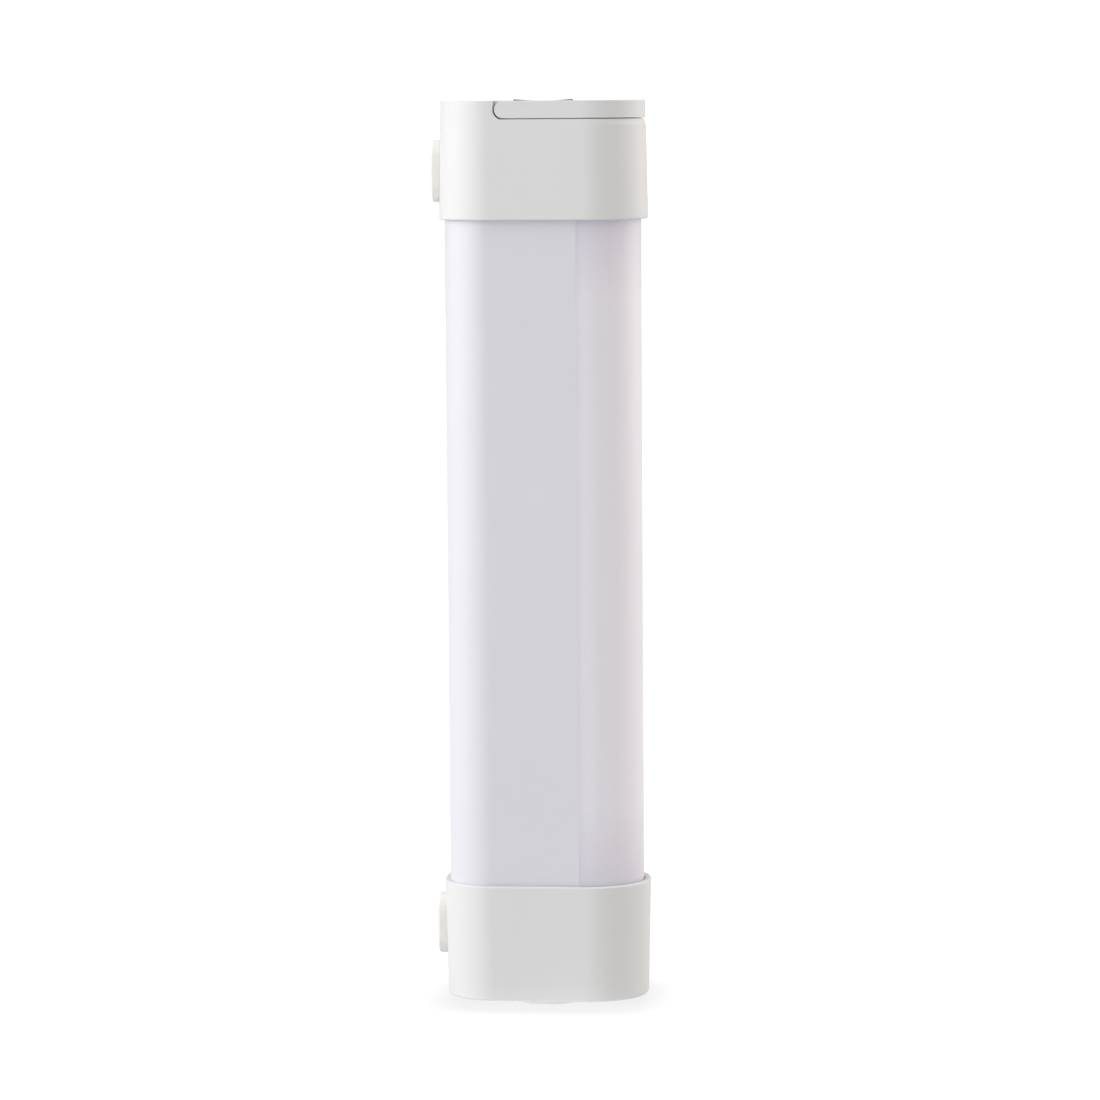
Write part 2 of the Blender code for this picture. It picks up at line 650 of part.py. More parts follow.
def charge_port(shell_look, tongue_look):
    back_y = PORT_MOUTH_Y - PORT_DEPTH
    outside = rounded_bar(PORT_WIDTH, PORT_HEIGHT, back_y, PORT_MOUTH_Y)
    shell = add_object("charge_port", outside, shell_look)
    hollow = rounded_bar(PORT_WIDTH - 0.7 * MM, PORT_HEIGHT - 0.7 * MM, back_y + 0.8 * MM,
                         PORT_MOUTH_Y + MM)
    combine(shell, add_cutter("port_hollow_cutter", hollow))
    z = BOARD_LOW_Z - GAP - PORT_HEIGHT / 2
    centre = (0, back_y + 0.8 * MM + GAP + 2.4 * MM, z)
    add_object("port_tongue", box((6.6 * MM, 4.8 * MM, 0.7 * MM), centre), tongue_look, centre)


def control_board(look):
    centre = (0, 0, BOARD_LOW_Z + BOARD_THICK / 2)
    bm = box((BOARD_LENGTH, BOARD_WIDTH, BOARD_THICK), centre)
    upright = [edge for edge in bm.edges if abs(edge.verts[0].co.z - edge.verts[1].co.z) > 0.5 * BOARD_THICK]
    bmesh.ops.bevel(bm, geom=upright, offset=2 * MM, segments=3, profile=0.5, affect="EDGES")
    board = add_object("control_board", bm, look, centre)
    holes = bmesh.new()
    for x, y in BOARD_PILLARS:
        low = (x, y, BOARD_LOW_Z - MM)
        add_cylinder(holes, SCREW_HOLE_RADIUS, low, (x, y, BOARD_LOW_Z + 3 * MM), segments=12)
    combine(board, add_cutter("board_hole_cutter", holes))


def board_parts(look):
    """Parts on the board's underside: driver inductor, charger chip and four capacitors."""
    under = BOARD_LOW_Z - GAP
    for name, size, x, y in (("driver_inductor", Vector((6, 6, 2.8)) * MM, -9 * MM, 5 * MM),
                             ("charger_chip", Vector((5, 5, 0.9)) * MM, 6 * MM, 0.0)):
        centre = (x, y, under - size.z / 2)
        add_object(name, box(size, centre), look, centre)
    size = Vector((1.6, 2.4, 1.2)) * MM
    for index in range(4):
        centre = ((2 + 3 * index) * MM, -9 * MM, under - size.z / 2)
        add_object(f"board_capacitor_{index + 1}", box(size, centre), look, centre)


def tactile_switch(look):
    low = BOARD_LOW_Z + BOARD_THICK + GAP
    centre = (0, 0, low + SWITCH_HEIGHT / 2)
    body = box((SWITCH_SIZE, SWITCH_SIZE, SWITCH_HEIGHT), centre)
    switch = add_object("tactile_switch", body, look, centre)
    well = cylinder(PLUNGER_RADIUS + GAP, (0, 0, low + 0.6 * MM), (0, 0, low + 5 * MM), segments=20)
    combine(switch, add_cutter("plunger_well_cutter", well))


def switch_plunger(look):
    low = BOARD_LOW_Z + BOARD_THICK + GAP + 1.8 * MM
    high = BUTTON_STEM_LOW_Z - GAP
    add_object("switch_plunger", cylinder(PLUNGER_RADIUS, (0, 0, low), (0, 0, high), segments=20), look,
               (0, 0, high))


def power_button(look):
    """Round cap with a thumb scoop across it, a flange that keeps it in, and a stem."""
    top = CAP_TOP_Z + BUTTON_PROUD
    flange_top = CROWN_TOP_Z - GAP
    flange_low = flange_top - BUTTON_FLANGE_THICK
    bm = cylinder(BUTTON_RADIUS, (0, 0, flange_low), (0, 0, top), segments=40)
    bevel_level(bm, top, 0.3 * MM, 1)
    button = add_object("power_button", bm, look, (0, 0, CAP_TOP_Z))
    flange = cylinder(BUTTON_FLANGE_RADIUS, (0, 0, flange_low - 0.1 * MM), (0, 0, flange_top), segments=40)
    combine(button, add_cutter("button_flange", flange), "UNION")
    stem = cylinder(2.2 * MM, (0, 0, BUTTON_STEM_LOW_Z), (0, 0, flange_low + MM), segments=20)
    combine(button, add_cutter("button_stem", stem), "UNION")
    axis_z = top - SCOOP_DEPTH + SCOOP_RADIUS
    reach = 10 * MM
    scoop = cylinder(SCOOP_RADIUS, (0, -reach, axis_z), (0, reach, axis_z), "Y", 128)
    combine(button, add_cutter("scoop_cutter", scoop))


# ---------------------------------------------------------------- pads, foot and screws

def pad_block(z, gap=0.0):
    """Upright oblong with round ends; it is drawn flat and then stood up along X."""
    radius = PAD_HALF_WIDTH + gap
    straight = PAD_HALF_HEIGHT - PAD_HALF_WIDTH
    points = []
    for side, start in ((1, 0), (-1, 180)):
        for step in range(2 * ARC_STEPS + 1):
            angle = math.radians(start + 90 * step / ARC_STEPS)
            points.append((radius * math.cos(angle), z + side * straight + radius * math.sin(angle)))
    bm = prism(points, points, PAD_OUTER_X - gap, PAD_OUTER_X + PAD_PROUD + PAD_SUNK + gap)
    for vert in bm.verts:
        vert.co = (vert.co.z, vert.co.x, vert.co.y)
    return bm


def pads_and_magnets(pad_look, magnet_look):
    for end, z in (("upper", CAP_TOP_Z - PAD_FROM_END), ("lower", CAP_BOTTOM_Z + PAD_FROM_END)):
        add_object(end + "_pad", pad_block(z), pad_look, (PAD_OUTER_X, 0, z))
        inner = (MAGNET_OUTER_X + MAGNET_THICK, 0, z)
        magnet = cylinder(MAGNET_RADIUS, (MAGNET_OUTER_X, 0, z), inner, "X")
        add_object(end + "_magnet", magnet, magnet_look, (MAGNET_OUTER_X, 0, z))


def foot(look):
    bm = cylinder(FOOT_RADIUS, (0, 0, 0), (0, 0, FOOT_PROUD + FOOT_SUNK), segments=40)
    bevel_level(bm, 0, 0.4 * MM, 1)
    add_object("foot", bm, look)


def screws(name, look, places, axis):
    """Like screws; each place gives the head's outer face, the head's seat and the shank's tip."""
    for index, (face, seat, tip) in enumerate(places, start=1):
        label = f"{name}_{index}"
        screw = add_object(label, cylinder(SCREW_HEAD_RADIUS, face, seat, axis, 14), look, seat)
        inside_head = Vector(seat).lerp(Vector(face), 0.5)
        shank = cylinder(SCREW_RADIUS, inside_head, tip, axis, 10)
        combine(screw, add_cutter(label + "_shank", shank), "UNION")


def all_screws(look):
    seat = CAP_BOTTOM_Z + FOOT_SUNK + GAP + 1.4 * MM - GAP
    bottom = [((x, 0, seat - SCREW_HEAD), (x, 0, seat), (x, 0, seat + 8 * MM))
              for x in (-FOOT_SCREW_X, FOOT_SCREW_X)]
    screws("bottom_cap_screw", look, bottom, "Z")
    seat = SCREW_SEAT_Z - GAP
    top = [((x, 0, seat - SCREW_HEAD), (x, 0, seat), (x, 0, PLATE_HIGH_Z + 7 * MM))
           for x in (-POST_X, POST_X)]
    screws("top_cap_screw", look, top, "Z")
    seat = BOARD_LOW_Z + BOARD_THICK + GAP
    board = [((x, y, seat + SCREW_HEAD), (x, y, seat), (x, y, BOARD_LOW_Z - 5 * MM))
             for x, y in BOARD_PILLARS]
    screws("board_screw", look, board, "Z")
    seat = CARRIER_X + CARRIER_THICK + GAP
    carrier = [((seat + SCREW_HEAD, 0, z), (seat, 0, z), (CARRIER_X - 6 * MM, 0, z))
               for z in (CARRIER_SCREW_Z, mirrored(CARRIER_SCREW_Z))]
    screws("carrier_screw", look, carrier, "X")


def all_leads(red, black):
    """Leads that pass through the top bulkhead's two windows to the control board's underside."""
    end_z = (BOARD_LOW_Z - GAP) / MM
    lead("battery_lead_negative", ((0, -2, 168), (0.2, -2.6, 185), (-1.5, -6.4, 206), (-3.2, -8.2, 220),
                                   (-3.2, -8.4, 231), (-3, -6, end_z)), black)
    lead("battery_lead_positive", ((0, 1, 168), (0.2, -0.2, 185), (-3.4, -5.6, 206), (-6.4, -8.2, 220),
                                   (-6.4, -8.4, 231), (-6.4, -6, end_z)), red)
    for name, side, look in (("led_lead_negative", -1, black), ("led_lead_positive", 1, red)):
        lead(name, ((6.6, 1.4 * side, 208), (11, 1.4 * side, 210.5), (14, 1.2 * side, 215),
                    (14, 1.2 * side, 223), (14, 1.2 * side, 231), (13, 2.3 * side, end_z)), look)


def build():
    white = material("white_plastic", (0.80, 0.80, 0.79), 0.45)
    rear = material("rear_plastic", (0.78, 0.78, 0.80), 0.35)
    frosted = material("frosted_plastic", (0.80, 0.80, 0.84), 0.3)
    pad_grey = material("pad_silicone", (0.72, 0.71, 0.68), 0.6)
    foot_grey = material("foot_rubber", (0.74, 0.74, 0.73), 0.7)
    dark = material("button_plastic", (0.09, 0.09, 0.10), 0.5)
    seal = material("seal_rubber", (0.05, 0.05, 0.05), 0.8)
    inner = material("inner_plastic", (0.12, 0.12, 0.12), 0.6)
    alloy = material("aluminium", (0.80, 0.80, 0.82), 0.35, 1.0)
    steel = material("steel", (0.60, 0.60, 0.62), 0.3, 1.0)
    cell_wrap = material("cell_wrap", (0.10, 0.25, 0.45), 0.4)
    lead_red = material("lead_red", (0.55, 0.04, 0.04), 0.5)
    board_white = material("white_board", (0.85, 0.86, 0.84), 0.5)
    board_green = material("green_board", (0.03, 0.22, 0.10), 0.5)
    top_cap(white)
    bottom_cap(white)
    bail(white)
    hinge_pins(steel)
    tube_shells(rear, frosted)
    gasket("top_gasket", seal, False)
    gasket("bottom_gasket", seal, True)
    top_bulkhead(inner)
    bottom_bulkhead(inner)
    led_carrier(alloy)
    led_board(board_white)
    battery_cradle(inner)
    cells(cell_wrap)
    cell_strips(steel)
    control_board(board_green)
    board_parts(dark)
    charge_port(steel, dark)
    tactile_switch(dark)
    switch_plunger(dark)
    power_button(dark)
    pads_and_magnets(pad_grey, steel)
    foot(foot_grey)
    all_screws(steel)
    all_leads(lead_red, seal)


clear_scene()
PARTS = new_collection("led_light_tube")
CUTTERS = new_collection("cutters")
ROOT = bpy.data.objects.new("led_light_tube_root", None)
PARTS.objects.link(ROOT)
build()
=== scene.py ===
import json
import math

import bmesh
import bpy
from mathutils import Matrix, Vector


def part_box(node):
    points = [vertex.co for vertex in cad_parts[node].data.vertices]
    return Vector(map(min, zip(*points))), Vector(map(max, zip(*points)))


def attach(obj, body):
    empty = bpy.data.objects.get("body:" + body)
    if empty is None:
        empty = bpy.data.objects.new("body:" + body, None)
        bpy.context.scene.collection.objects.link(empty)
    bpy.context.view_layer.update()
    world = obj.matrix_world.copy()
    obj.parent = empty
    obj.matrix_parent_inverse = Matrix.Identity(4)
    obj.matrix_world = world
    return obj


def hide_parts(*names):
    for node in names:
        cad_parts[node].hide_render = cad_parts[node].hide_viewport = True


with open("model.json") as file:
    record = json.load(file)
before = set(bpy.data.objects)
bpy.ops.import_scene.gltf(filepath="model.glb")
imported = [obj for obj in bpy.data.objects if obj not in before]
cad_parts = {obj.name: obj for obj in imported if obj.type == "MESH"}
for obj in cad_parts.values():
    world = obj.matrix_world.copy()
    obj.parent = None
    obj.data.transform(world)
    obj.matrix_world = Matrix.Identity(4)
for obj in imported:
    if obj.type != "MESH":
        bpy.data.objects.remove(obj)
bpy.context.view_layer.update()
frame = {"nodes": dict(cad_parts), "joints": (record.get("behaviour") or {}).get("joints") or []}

# Looks of the LED light tube. Frame: +Z up, +X towards the diffuser, -X towards the rear pads,
# -Y towards the camera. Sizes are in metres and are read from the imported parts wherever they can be.
MM = 0.001
PAST = MM                # how far a cutter runs past the face that it opens
CLEAR_X = 40 * MM        # beyond the light's front and back
CLEAR_Y = 25 * MM        # beyond its sides
GAP = 0.3 * MM           # play between fitted parts

CAP_LOW, CAP_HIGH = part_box("top_cap")
BASE_LOW, BASE_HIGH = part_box("bottom_cap")
TUBE_LOW, TUBE_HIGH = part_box("rear_housing")
NOSE_LOW, NOSE_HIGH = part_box("diffuser")
BAIL_LOW, BAIL_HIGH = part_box("bail")
BUTTON_LOW, BUTTON_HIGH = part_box("power_button")
FOOT_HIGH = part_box("foot")[1]
PORT_LOW, PORT_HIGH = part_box("charge_port")
TONGUE_LOW, TONGUE_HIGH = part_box("port_tongue")
PAD_LOW, PAD_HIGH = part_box("upper_pad")
HINGE = Vector(next(joint["pos_m"] for joint in frame["joints"] if joint["name"] == "bail_hinge"))

# Cap section: length along X, depth along Y, drafted so that the mouth is wider than the closed end.
# Its rear corners are well rounded, and its nose is nearly a half circle.
CAP_HEIGHT = CAP_HIGH.z - CAP_LOW.z
CAP_DRAFT = 1.4 * MM
END_LENGTH = CAP_HIGH.x - CAP_LOW.x - CAP_DRAFT
END_DEPTH = CAP_HIGH.y - CAP_LOW.y - CAP_DRAFT
BACK_RADIUS = 14.2 * MM
FRONT_RADIUS = 16 * MM
CAP_WALL = 1.6 * MM
TOP_EDGE = 0.25 * MM
BASE_EDGE = 0.8 * MM
CAP_RIM_EDGE = 0.5 * MM
CAP_INNER_EDGE = 1.5 * MM
SMALL_EDGE = 0.3 * MM
CAP_FLOOR = 3.5 * MM

# Collar inside each cap's mouth, which closes the gap round the tube
COLLAR_INSET = 1.95 * MM
COLLAR_FROM_RIM = 0.9 * MM
COLLAR_HEIGHT = 1.4 * MM
COLLAR_SLOPE = 0.3 * MM

# Tube section; the rear shell and the nose meet at a seam on both flat sides, and both stand a little
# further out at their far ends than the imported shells
TUBE_LENGTH = NOSE_HIGH.x - TUBE_LOW.x
TUBE_DEPTH = TUBE_HIGH.y - TUBE_LOW.y
TUBE_BACK_RADIUS = 12.7 * MM
TUBE_FRONT_RADIUS = 14.7 * MM
TUBE_WALL = 1.8 * MM
SEAM_EDGE = 0.015 * MM
SEAM_CLOSING = 0.05 * MM
BACK_GROWTH = 0.6 * MM
NOSE_GROWTH = 0.2 * MM

# How far the diffuser's painted shade reaches: from each cap, and from the seam
DIFFUSER_SHADE = 22 * MM
DIFFUSER_SEAM = 8 * MM

# Bail, cut from a taller blank, and the channel that it lies in
BAIL_BLANK = 8 * MM
BAIL_WIDTH = 3.4 * MM
BAIL_THICK = BAIL_HIGH.z - BAIL_LOW.z
CHANNEL_REAR_RELIEF = 0.18 * MM
BAIL_EDGE = 0.45 * MM
PIN_PLAY = 0.1 * MM
CHANNEL_Z = BAIL_LOW.z - GAP
BEAD_INSET = 1.1 * MM
BEAD_TOP_Z = BAIL_LOW.z - 0.08 * MM
BEAD_START_X = HINGE.x + 0.5 * MM
LIP_EDGE = 0.15 * MM
LIP_HEIGHT = 1.8 * MM
LIP_LEVELS = 6
LIP_INSET_SIDE = 0.2 * MM
LIP_INSET_NOSE = 0.5 * MM
LIP_START = 4 * MM
LIP_REAR_X = HINGE.x - 3 * MM
CEILING_Z = CHANNEL_Z - 2 * MM
CROWN_TOP_Z = CAP_HIGH.z - 2.4 * MM

# Button with a scoop across its top
BUTTON_RADIUS = 8.3 * MM
BUTTON_EDGE = 0.35 * MM
BUTTON_SIDE_Z = CAP_HIGH.z - 0.9 * MM
FLANGE_RADIUS = 9.6 * MM
FLANGE_THICK = 1.2 * MM
STEM_RADIUS = 2.2 * MM
SCOOP_DEPTH = 0.45 * MM
SCOOP_RADIUS = (BUTTON_RADIUS ** 2 + SCOOP_DEPTH ** 2) / (2 * SCOOP_DEPTH)
SCOOP_RINGS = (0.85, 0.7, 0.55, 0.4, 0.25, 0.12)     # shares of the button's radius

# Pads: upright oblongs with round ends; their face as (inset, depth) in millimetres, from the rim inwards
PAD_HALF_WIDTH = (PAD_HIGH.y - PAD_LOW.y) / 2
PAD_STRAIGHT = (PAD_HIGH.z - PAD_LOW.z) / 2 - PAD_HALF_WIDTH
PAD_EDGE = 0.6 * MM
PAD_FACE = ((1.5, 0.0), (1.7, 0.12), (2.1, 0.12), (2.3, 0.02), (3.3, 0.06), (4.5, 0.10))

# Foot: tread rings at these radii, each cut as (out, height), in millimetres
FOOT_EDGE = 0.5 * MM
FOOT_MIDDLE = 0.5 * MM
TREAD_RADII = (3, 6, 9)
TREAD_STEPS = ((0.0, 0.0), (0.2, 0.3), (1.0, 0.3), (1.2, 0.0))

# Charging port and the contacts on its tongue
PORT_WALL = 0.35 * MM
PORT_BACK = 0.8 * MM
PORT_MOUTH_EDGE = 0.08 * MM
TONGUE_EDGE = 0.12 * MM
CONTACT_COUNT = 8
CONTACT_ROW = 0.7            # share of the tongue's width
CONTACT_WIDTH = 0.5          # share of the pitch
CONTACT_LENGTH = 2.4 * MM
CONTACT_FROM_END = 1.9 * MM
CONTACT_DEPTH = 0.16 * MM
CONTACT_PLAY = 0.03 * MM

# Steps of a quarter circle, of a small round edge and of a full turn
ARC_STEPS = 20
FILLET_STEPS = 5
ROUND_STEPS = 128

# Where two faces meet at more degrees than this, their edge is shaded sharp: as built, and once bevelled
BUILT_ANGLE = 30
BEVELLED_ANGLE = 40

# Points closer together than WELD are joined. The others say how near an edge lies to a face or a seam
# that it belongs to, and how long a seam's edge is at least.
WELD = 0.005 * MM
NEAR_FACE = 0.1 * MM
NEAR_WALL = 0.08 * MM
NEAR_SEAM = 0.01 * MM
SEAM_LEAST = 10 * MM

# Colours of the parts that show
CAP_WHITE = (0.82, 0.82, 0.82)
REAR_WHITE = (0.80, 0.79, 0.845)
# The diffuser's own lavender, darkened at the seam as painted shade
DIFFUSER_SEAM_SHADED_COLOUR = (0.825, 0.805, 0.88)
DIFFUSER_NOSE_COLOUR = (0.94, 0.91, 0.975)
# Painted shade: the diffuser's colour is multiplied by this at each cap
DIFFUSER_END_PAINTED_SHADE = (0.87, 0.865, 0.89)
PAD_WARM_GREY = (0.91, 0.89, 0.86)
FOOT_OFF_WHITE = (0.90, 0.90, 0.89)
BUTTON_DARK = (0.09, 0.09, 0.095)
STEEL_GREY = (0.68, 0.68, 0.70)
CONTACT_GOLD = (0.85, 0.66, 0.30)

# Camera: level with the cap's top, a little to the diffuser's side
CAMERA_SENSOR = 36.0
CAMERA_LENS = 138.345
CAMERA_PLACE = (0.10639, -1.17000, 0.2515)
CAMERA_HEADING = 5.145
CAMERA_PITCH = 6.072
CAMERA_ROLL = -0.397

# Studio: two tall soft boxes, a dark corner between them and a light ceiling, all painted in the sky.
# An azimuth is 0 on the camera's side (-Y) and 90 towards +X. Strengths are radiances.
# name, azimuth, half width in degrees, strength, colour
SOFT_BOXES = (
    ("left_box", -61, 66, 2.75, (1.0, 1.0, 1.0)),
    ("right_box", 112, 56, 2.15, (1.06, 1.0, 0.94)),
)
ROOM_STRENGTH = 0.36
DARK_CORNER = (30, 100)
CEILING_STRENGTH = 0.93
CEILING_START = 0.5
CEILING_END = 0.87
SKY_SEEN = 1.05

# Floor: the contact shadow is painted, a soft oblong about the base where the floor glows less, over a
# faint real one.
# Under the base the floor also glows, painting bounce light. The starts and ends bound the shadow's fade
# and the bounce's, as squares of the distance over the oblong's half sizes.
FLOOR_RADIUS = 4.0
FLOOR_ROUGHNESS = 0.9
FLOOR_ALBEDO = 0.68
FLOOR_SEEN_ALBEDO = 0.10
FLOOR_NEAR_GLOW = 0.81
FLOOR_FAR_GLOW = 1.0
FLOOR_BOUNCE_GLOW = 0.6
BOUNCE_START = 0.2
BOUNCE_END = 0.8
SHADOW_HALF_LENGTH = 33 * MM
SHADOW_HALF_WIDTH = 26.5 * MM
SHADOW_START = 0.64
SHADOW_END = 1.44


# ---------------------------------------------------------------- mesh helpers

def make_object(name, bm, look=None):
    """Turn a mesh into a linked, smoothly shaded object."""
    bm.normal_update()
    bmesh.ops.recalc_face_normals(bm, faces=bm.faces)
    mesh = bpy.data.meshes.new(name)
    bm.to_mesh(mesh)
    bm.free()
    item = bpy.data.objects.new(name, mesh)
    bpy.context.scene.collection.objects.link(item)
    if look is not None:
        mesh.materials.append(look)
    mesh.shade_smooth()
    mesh.set_sharp_from_angle(angle=math.radians(BUILT_ANGLE))
    return item


def cut(item, shape, operation="DIFFERENCE"):
    """Apply one Boolean with a shape, a mesh or an object, that is then thrown away."""
    cutter = shape if isinstance(shape, bpy.types.Object) else make_object("cutter", shape)
    modifier = item.modifiers.new("cut", "BOOLEAN")
    modifier.operation = operation
    modifier.solver = "EXACT"
    modifier.object = cutter
    bpy.context.view_layer.update()
    evaluated = item.evaluated_get(bpy.context.evaluated_depsgraph_get())
    mesh = bpy.data.meshes.new_from_object(evaluated)
    item.modifiers.remove(modifier)
    old = item.data
    item.data = mesh
    bpy.data.meshes.remove(old)
    bpy.data.objects.remove(cutter)


def outline(length, depth, back_radius, front_radius, inset=0.0):
    """Bar-light outline, counter-clockwise: small corners at the back, a round nose at the front."""
    half_length = length / 2 - inset
    half_depth = depth / 2 - inset
    back = back_radius - inset
    front = front_radius - inset
    corners = (
        (-half_length + back, -half_depth + back, back, 180),
        (half_length - front, -half_depth + front, front, 270),
        (half_length - front, half_depth - front, front, 0),
        (-half_length + back, half_depth - back, back, 90),
    )
    points = []
    for centre_x, centre_y, radius, start in corners:
        for step in range(ARC_STEPS + 1):
            angle = math.radians(start + 90 * step / ARC_STEPS)
            points.append((centre_x + radius * math.cos(angle), centre_y + radius * math.sin(angle)))
    return points


def cap_outline(from_end, inset=0.0):
    """Outline of a cap at a distance from its closed end."""
    growth = CAP_DRAFT * from_end / CAP_HEIGHT
    return outline(END_LENGTH + growth, END_DEPTH + growth, BACK_RADIUS + growth / 2,
                   FRONT_RADIUS + growth / 2, inset)


def tube_outline(inset=0.0):
    """Outline of both tube halves together."""
    return outline(TUBE_LENGTH, TUBE_DEPTH, TUBE_BACK_RADIUS, TUBE_FRONT_RADIUS, inset)


def stadium(straight, radius):
    """Oblong with round ends, long along the second axis."""
    points = []
    for side, start in ((1, 0), (-1, 180)):
        for step in range(2 * ARC_STEPS + 1):
            angle = math.radians(start + 90 * step / ARC_STEPS)
            points.append((radius * math.cos(angle), side * straight + radius * math.sin(angle)))
    return points


def circle(radius):
    angles = [2 * math.pi * step / ROUND_STEPS for step in range(ROUND_STEPS)]
    return [(radius * math.cos(angle), radius * math.sin(angle)) for angle in angles]


def loft(rings):
    """Closed body through rings of points that all have the same count; both ends are capped."""
    bm = bmesh.new()
    rows = [[bm.verts.new(place) for place in ring] for ring in rings]
    for low, high in zip(rows, rows[1:]):
        for index in range(len(low)):
            after = (index + 1) % len(low)
            bm.faces.new((low[index], low[after], high[after], high[index]))
    bm.faces.new(list(reversed(rows[0])))
    bm.faces.new(rows[-1])
    return bm


def level(points, z):
    """Lay an outline flat at one height."""
    return [(x, y, z) for x, y in points]


def upright(points, x, z):
    """Stand an outline up across the X axis: its first axis runs along Y and its second along Z."""
    return [(x, y, z + up) for y, up in points]


def turned(profile):
    """Turned body about the Z axis: (radius, height) pairs from one end to the other."""
    return loft([level(circle(radius), height) for radius, height in profile])


def column(points, low_z, high_z):
    """Upright prism between two heights."""
    return loft([level(points, low_z), level(points, high_z)])


def side_prism(points, half_y):
    """Prism across the object from (x, z) points."""
    near = [(x, -half_y, z) for x, z in points]
    far = [(x, half_y, z) for x, z in points]
    return loft([near, far])


def fillet(radius):
    """(inset, drop) pairs from the side wall over a round edge to the flat face."""
    pairs = []
    for step in range(FILLET_STEPS + 1):
        angle = math.radians(90 * step / FILLET_STEPS)
        pairs.append((radius * (1 - math.cos(angle)), radius * (1 - math.sin(angle))))
    return pairs


def hinge_arc(radius, start, end):
    """(x, z) points on an arc about the bail's hinge."""
    points = []
    for step in range(2 * ARC_STEPS + 1):
        angle = math.radians(start + (end - start) * step / (2 * ARC_STEPS))
        points.append((HINGE.x + radius * math.cos(angle), HINGE.z + radius * math.sin(angle)))
    return points


def wall_inset(place, from_end):
    """How far a point lies inside the cap's drafted outer wall."""
    growth = CAP_DRAFT * from_end / CAP_HEIGHT / 2
    radius = (FRONT_RADIUS if place.x > 0 else BACK_RADIUS) + growth
    over_x = abs(place.x) - (END_LENGTH / 2 + growth - radius)
    over_y = abs(place.y) - (END_DEPTH / 2 + growth - radius)
    outside = math.hypot(max(over_x, 0), max(over_y, 0))
    return radius - outside - min(max(over_x, over_y), 0)


def round_edges(item, width, chooser, steps=3, angle=35):
    """Bevel the sharp edges that the chooser accepts."""
    bm = bmesh.new()
    bm.from_mesh(item.data)
    bmesh.ops.remove_doubles(bm, verts=bm.verts, dist=WELD)
    bmesh.ops.dissolve_degenerate(bm, edges=bm.edges, dist=WELD)
    limit = math.radians(angle)
    edges = [edge for edge in bm.edges
             if len(edge.link_faces) == 2 and edge.calc_face_angle() > limit and chooser(edge)]
    bmesh.ops.bevel(bm, geom=edges, offset=width, offset_type="OFFSET", segments=steps, profile=0.5,
                    affect="EDGES", clamp_overlap=True)
    bm.to_mesh(item.data)
    bm.free()
    item.data.shade_smooth()
    item.data.set_sharp_from_angle(angle=math.radians(BEVELLED_ANGLE))


def every_edge(edge):
    return True


def finish_piece(item, body, node, even_shading=True):
    """Hand a finished piece to the frame."""
    if even_shading:
        modifier = item.modifiers.new("even_shading", "WEIGHTED_NORMAL")
        modifier.keep_sharp = True
    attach(item, body)
    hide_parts(node)


# ---------------------------------------------------------------- materials

def node_material(name):
    """New material, with its node tree and its shader."""
    look = bpy.data.materials.new(name)
    look.use_nodes = True
    tree = look.node_tree
    return look, tree, tree.nodes["Principled BSDF"]


def maths(tree, operation, first, second):
    """One math node; each input is a socket or a number, and a one-sided operation ignores the second."""
    node = tree.nodes.new("ShaderNodeMath")
    node.operation = operation
    for socket, value in zip(node.inputs, (first, second)):
        if isinstance(value, bpy.types.NodeSocket):
            tree.links.new(value, socket)
        else:
            socket.default_value = value
    return node.outputs[0]


def vector_maths(tree, operation, first, second=None):
    node = tree.nodes.new("ShaderNodeVectorMath")
    node.operation = operation
    tree.links.new(first, node.inputs[0])
    if isinstance(second, bpy.types.NodeSocket):
        tree.links.new(second, node.inputs[1])
    elif second is not None:
        node.inputs[1].default_value = second
    return node.outputs["Value" if operation in ("DOT_PRODUCT", "LENGTH") else "Vector"]


def object_noise(tree, scale, detail=2.0, roughness=0.5, stretch=(1, 1, 1)):
    """Noise in the object's own metres, so that it doesn't depend on the mesh."""
    place = tree.nodes.new("ShaderNodeTexCoord")
    mapping = tree.nodes.new("ShaderNodeMapping")
    mapping.inputs["Scale"].default_value = stretch
    noise = tree.nodes.new("ShaderNodeTexNoise")
    noise.inputs["Scale"].default_value = scale
    noise.inputs["Detail"].default_value = detail
    noise.inputs["Roughness"].default_value = roughness
    tree.links.new(place.outputs["Object"], mapping.inputs["Vector"])
    tree.links.new(mapping.outputs["Vector"], noise.inputs["Vector"])
    return noise.outputs["Fac"]


def ramp(tree, source, low, high, low_at=0.3, high_at=0.7):
    """Map a value between two colours."""
    node = tree.nodes.new("ShaderNodeValToRGB")
    first, last = node.color_ramp.elements
    first.position = low_at
    last.position = high_at
    first.color = (*low, 1.0)
    last.color = (*high, 1.0)
    tree.links.new(source, node.inputs["Fac"])
    return node.outputs["Color"]


def map_range(tree, source, low, high, from_low=0.3, from_high=0.7):
    """Map a value from one range to another, held at its ends."""
    node = tree.nodes.new("ShaderNodeMapRange")
    node.inputs["From Min"].default_value = from_low
    node.inputs["From Max"].default_value = from_high
    node.inputs["To Min"].default_value = low
    node.inputs["To Max"].default_value = high
    tree.links.new(source, node.inputs["Value"])
    return node.outputs["Result"]


def add_bump(tree, shader, height, strength, distance):
    """Fine relief from a value between 0 and 1."""
    bump = tree.nodes.new("ShaderNodeBump")
    bump.inputs["Strength"].default_value = strength
    bump.inputs["Distance"].default_value = distance
    tree.links.new(height, bump.inputs["Height"])
    tree.links.new(bump.outputs["Normal"], shader.inputs["Normal"])


def darker(colour, share=0.96):
    return tuple(share * value for value in colour)


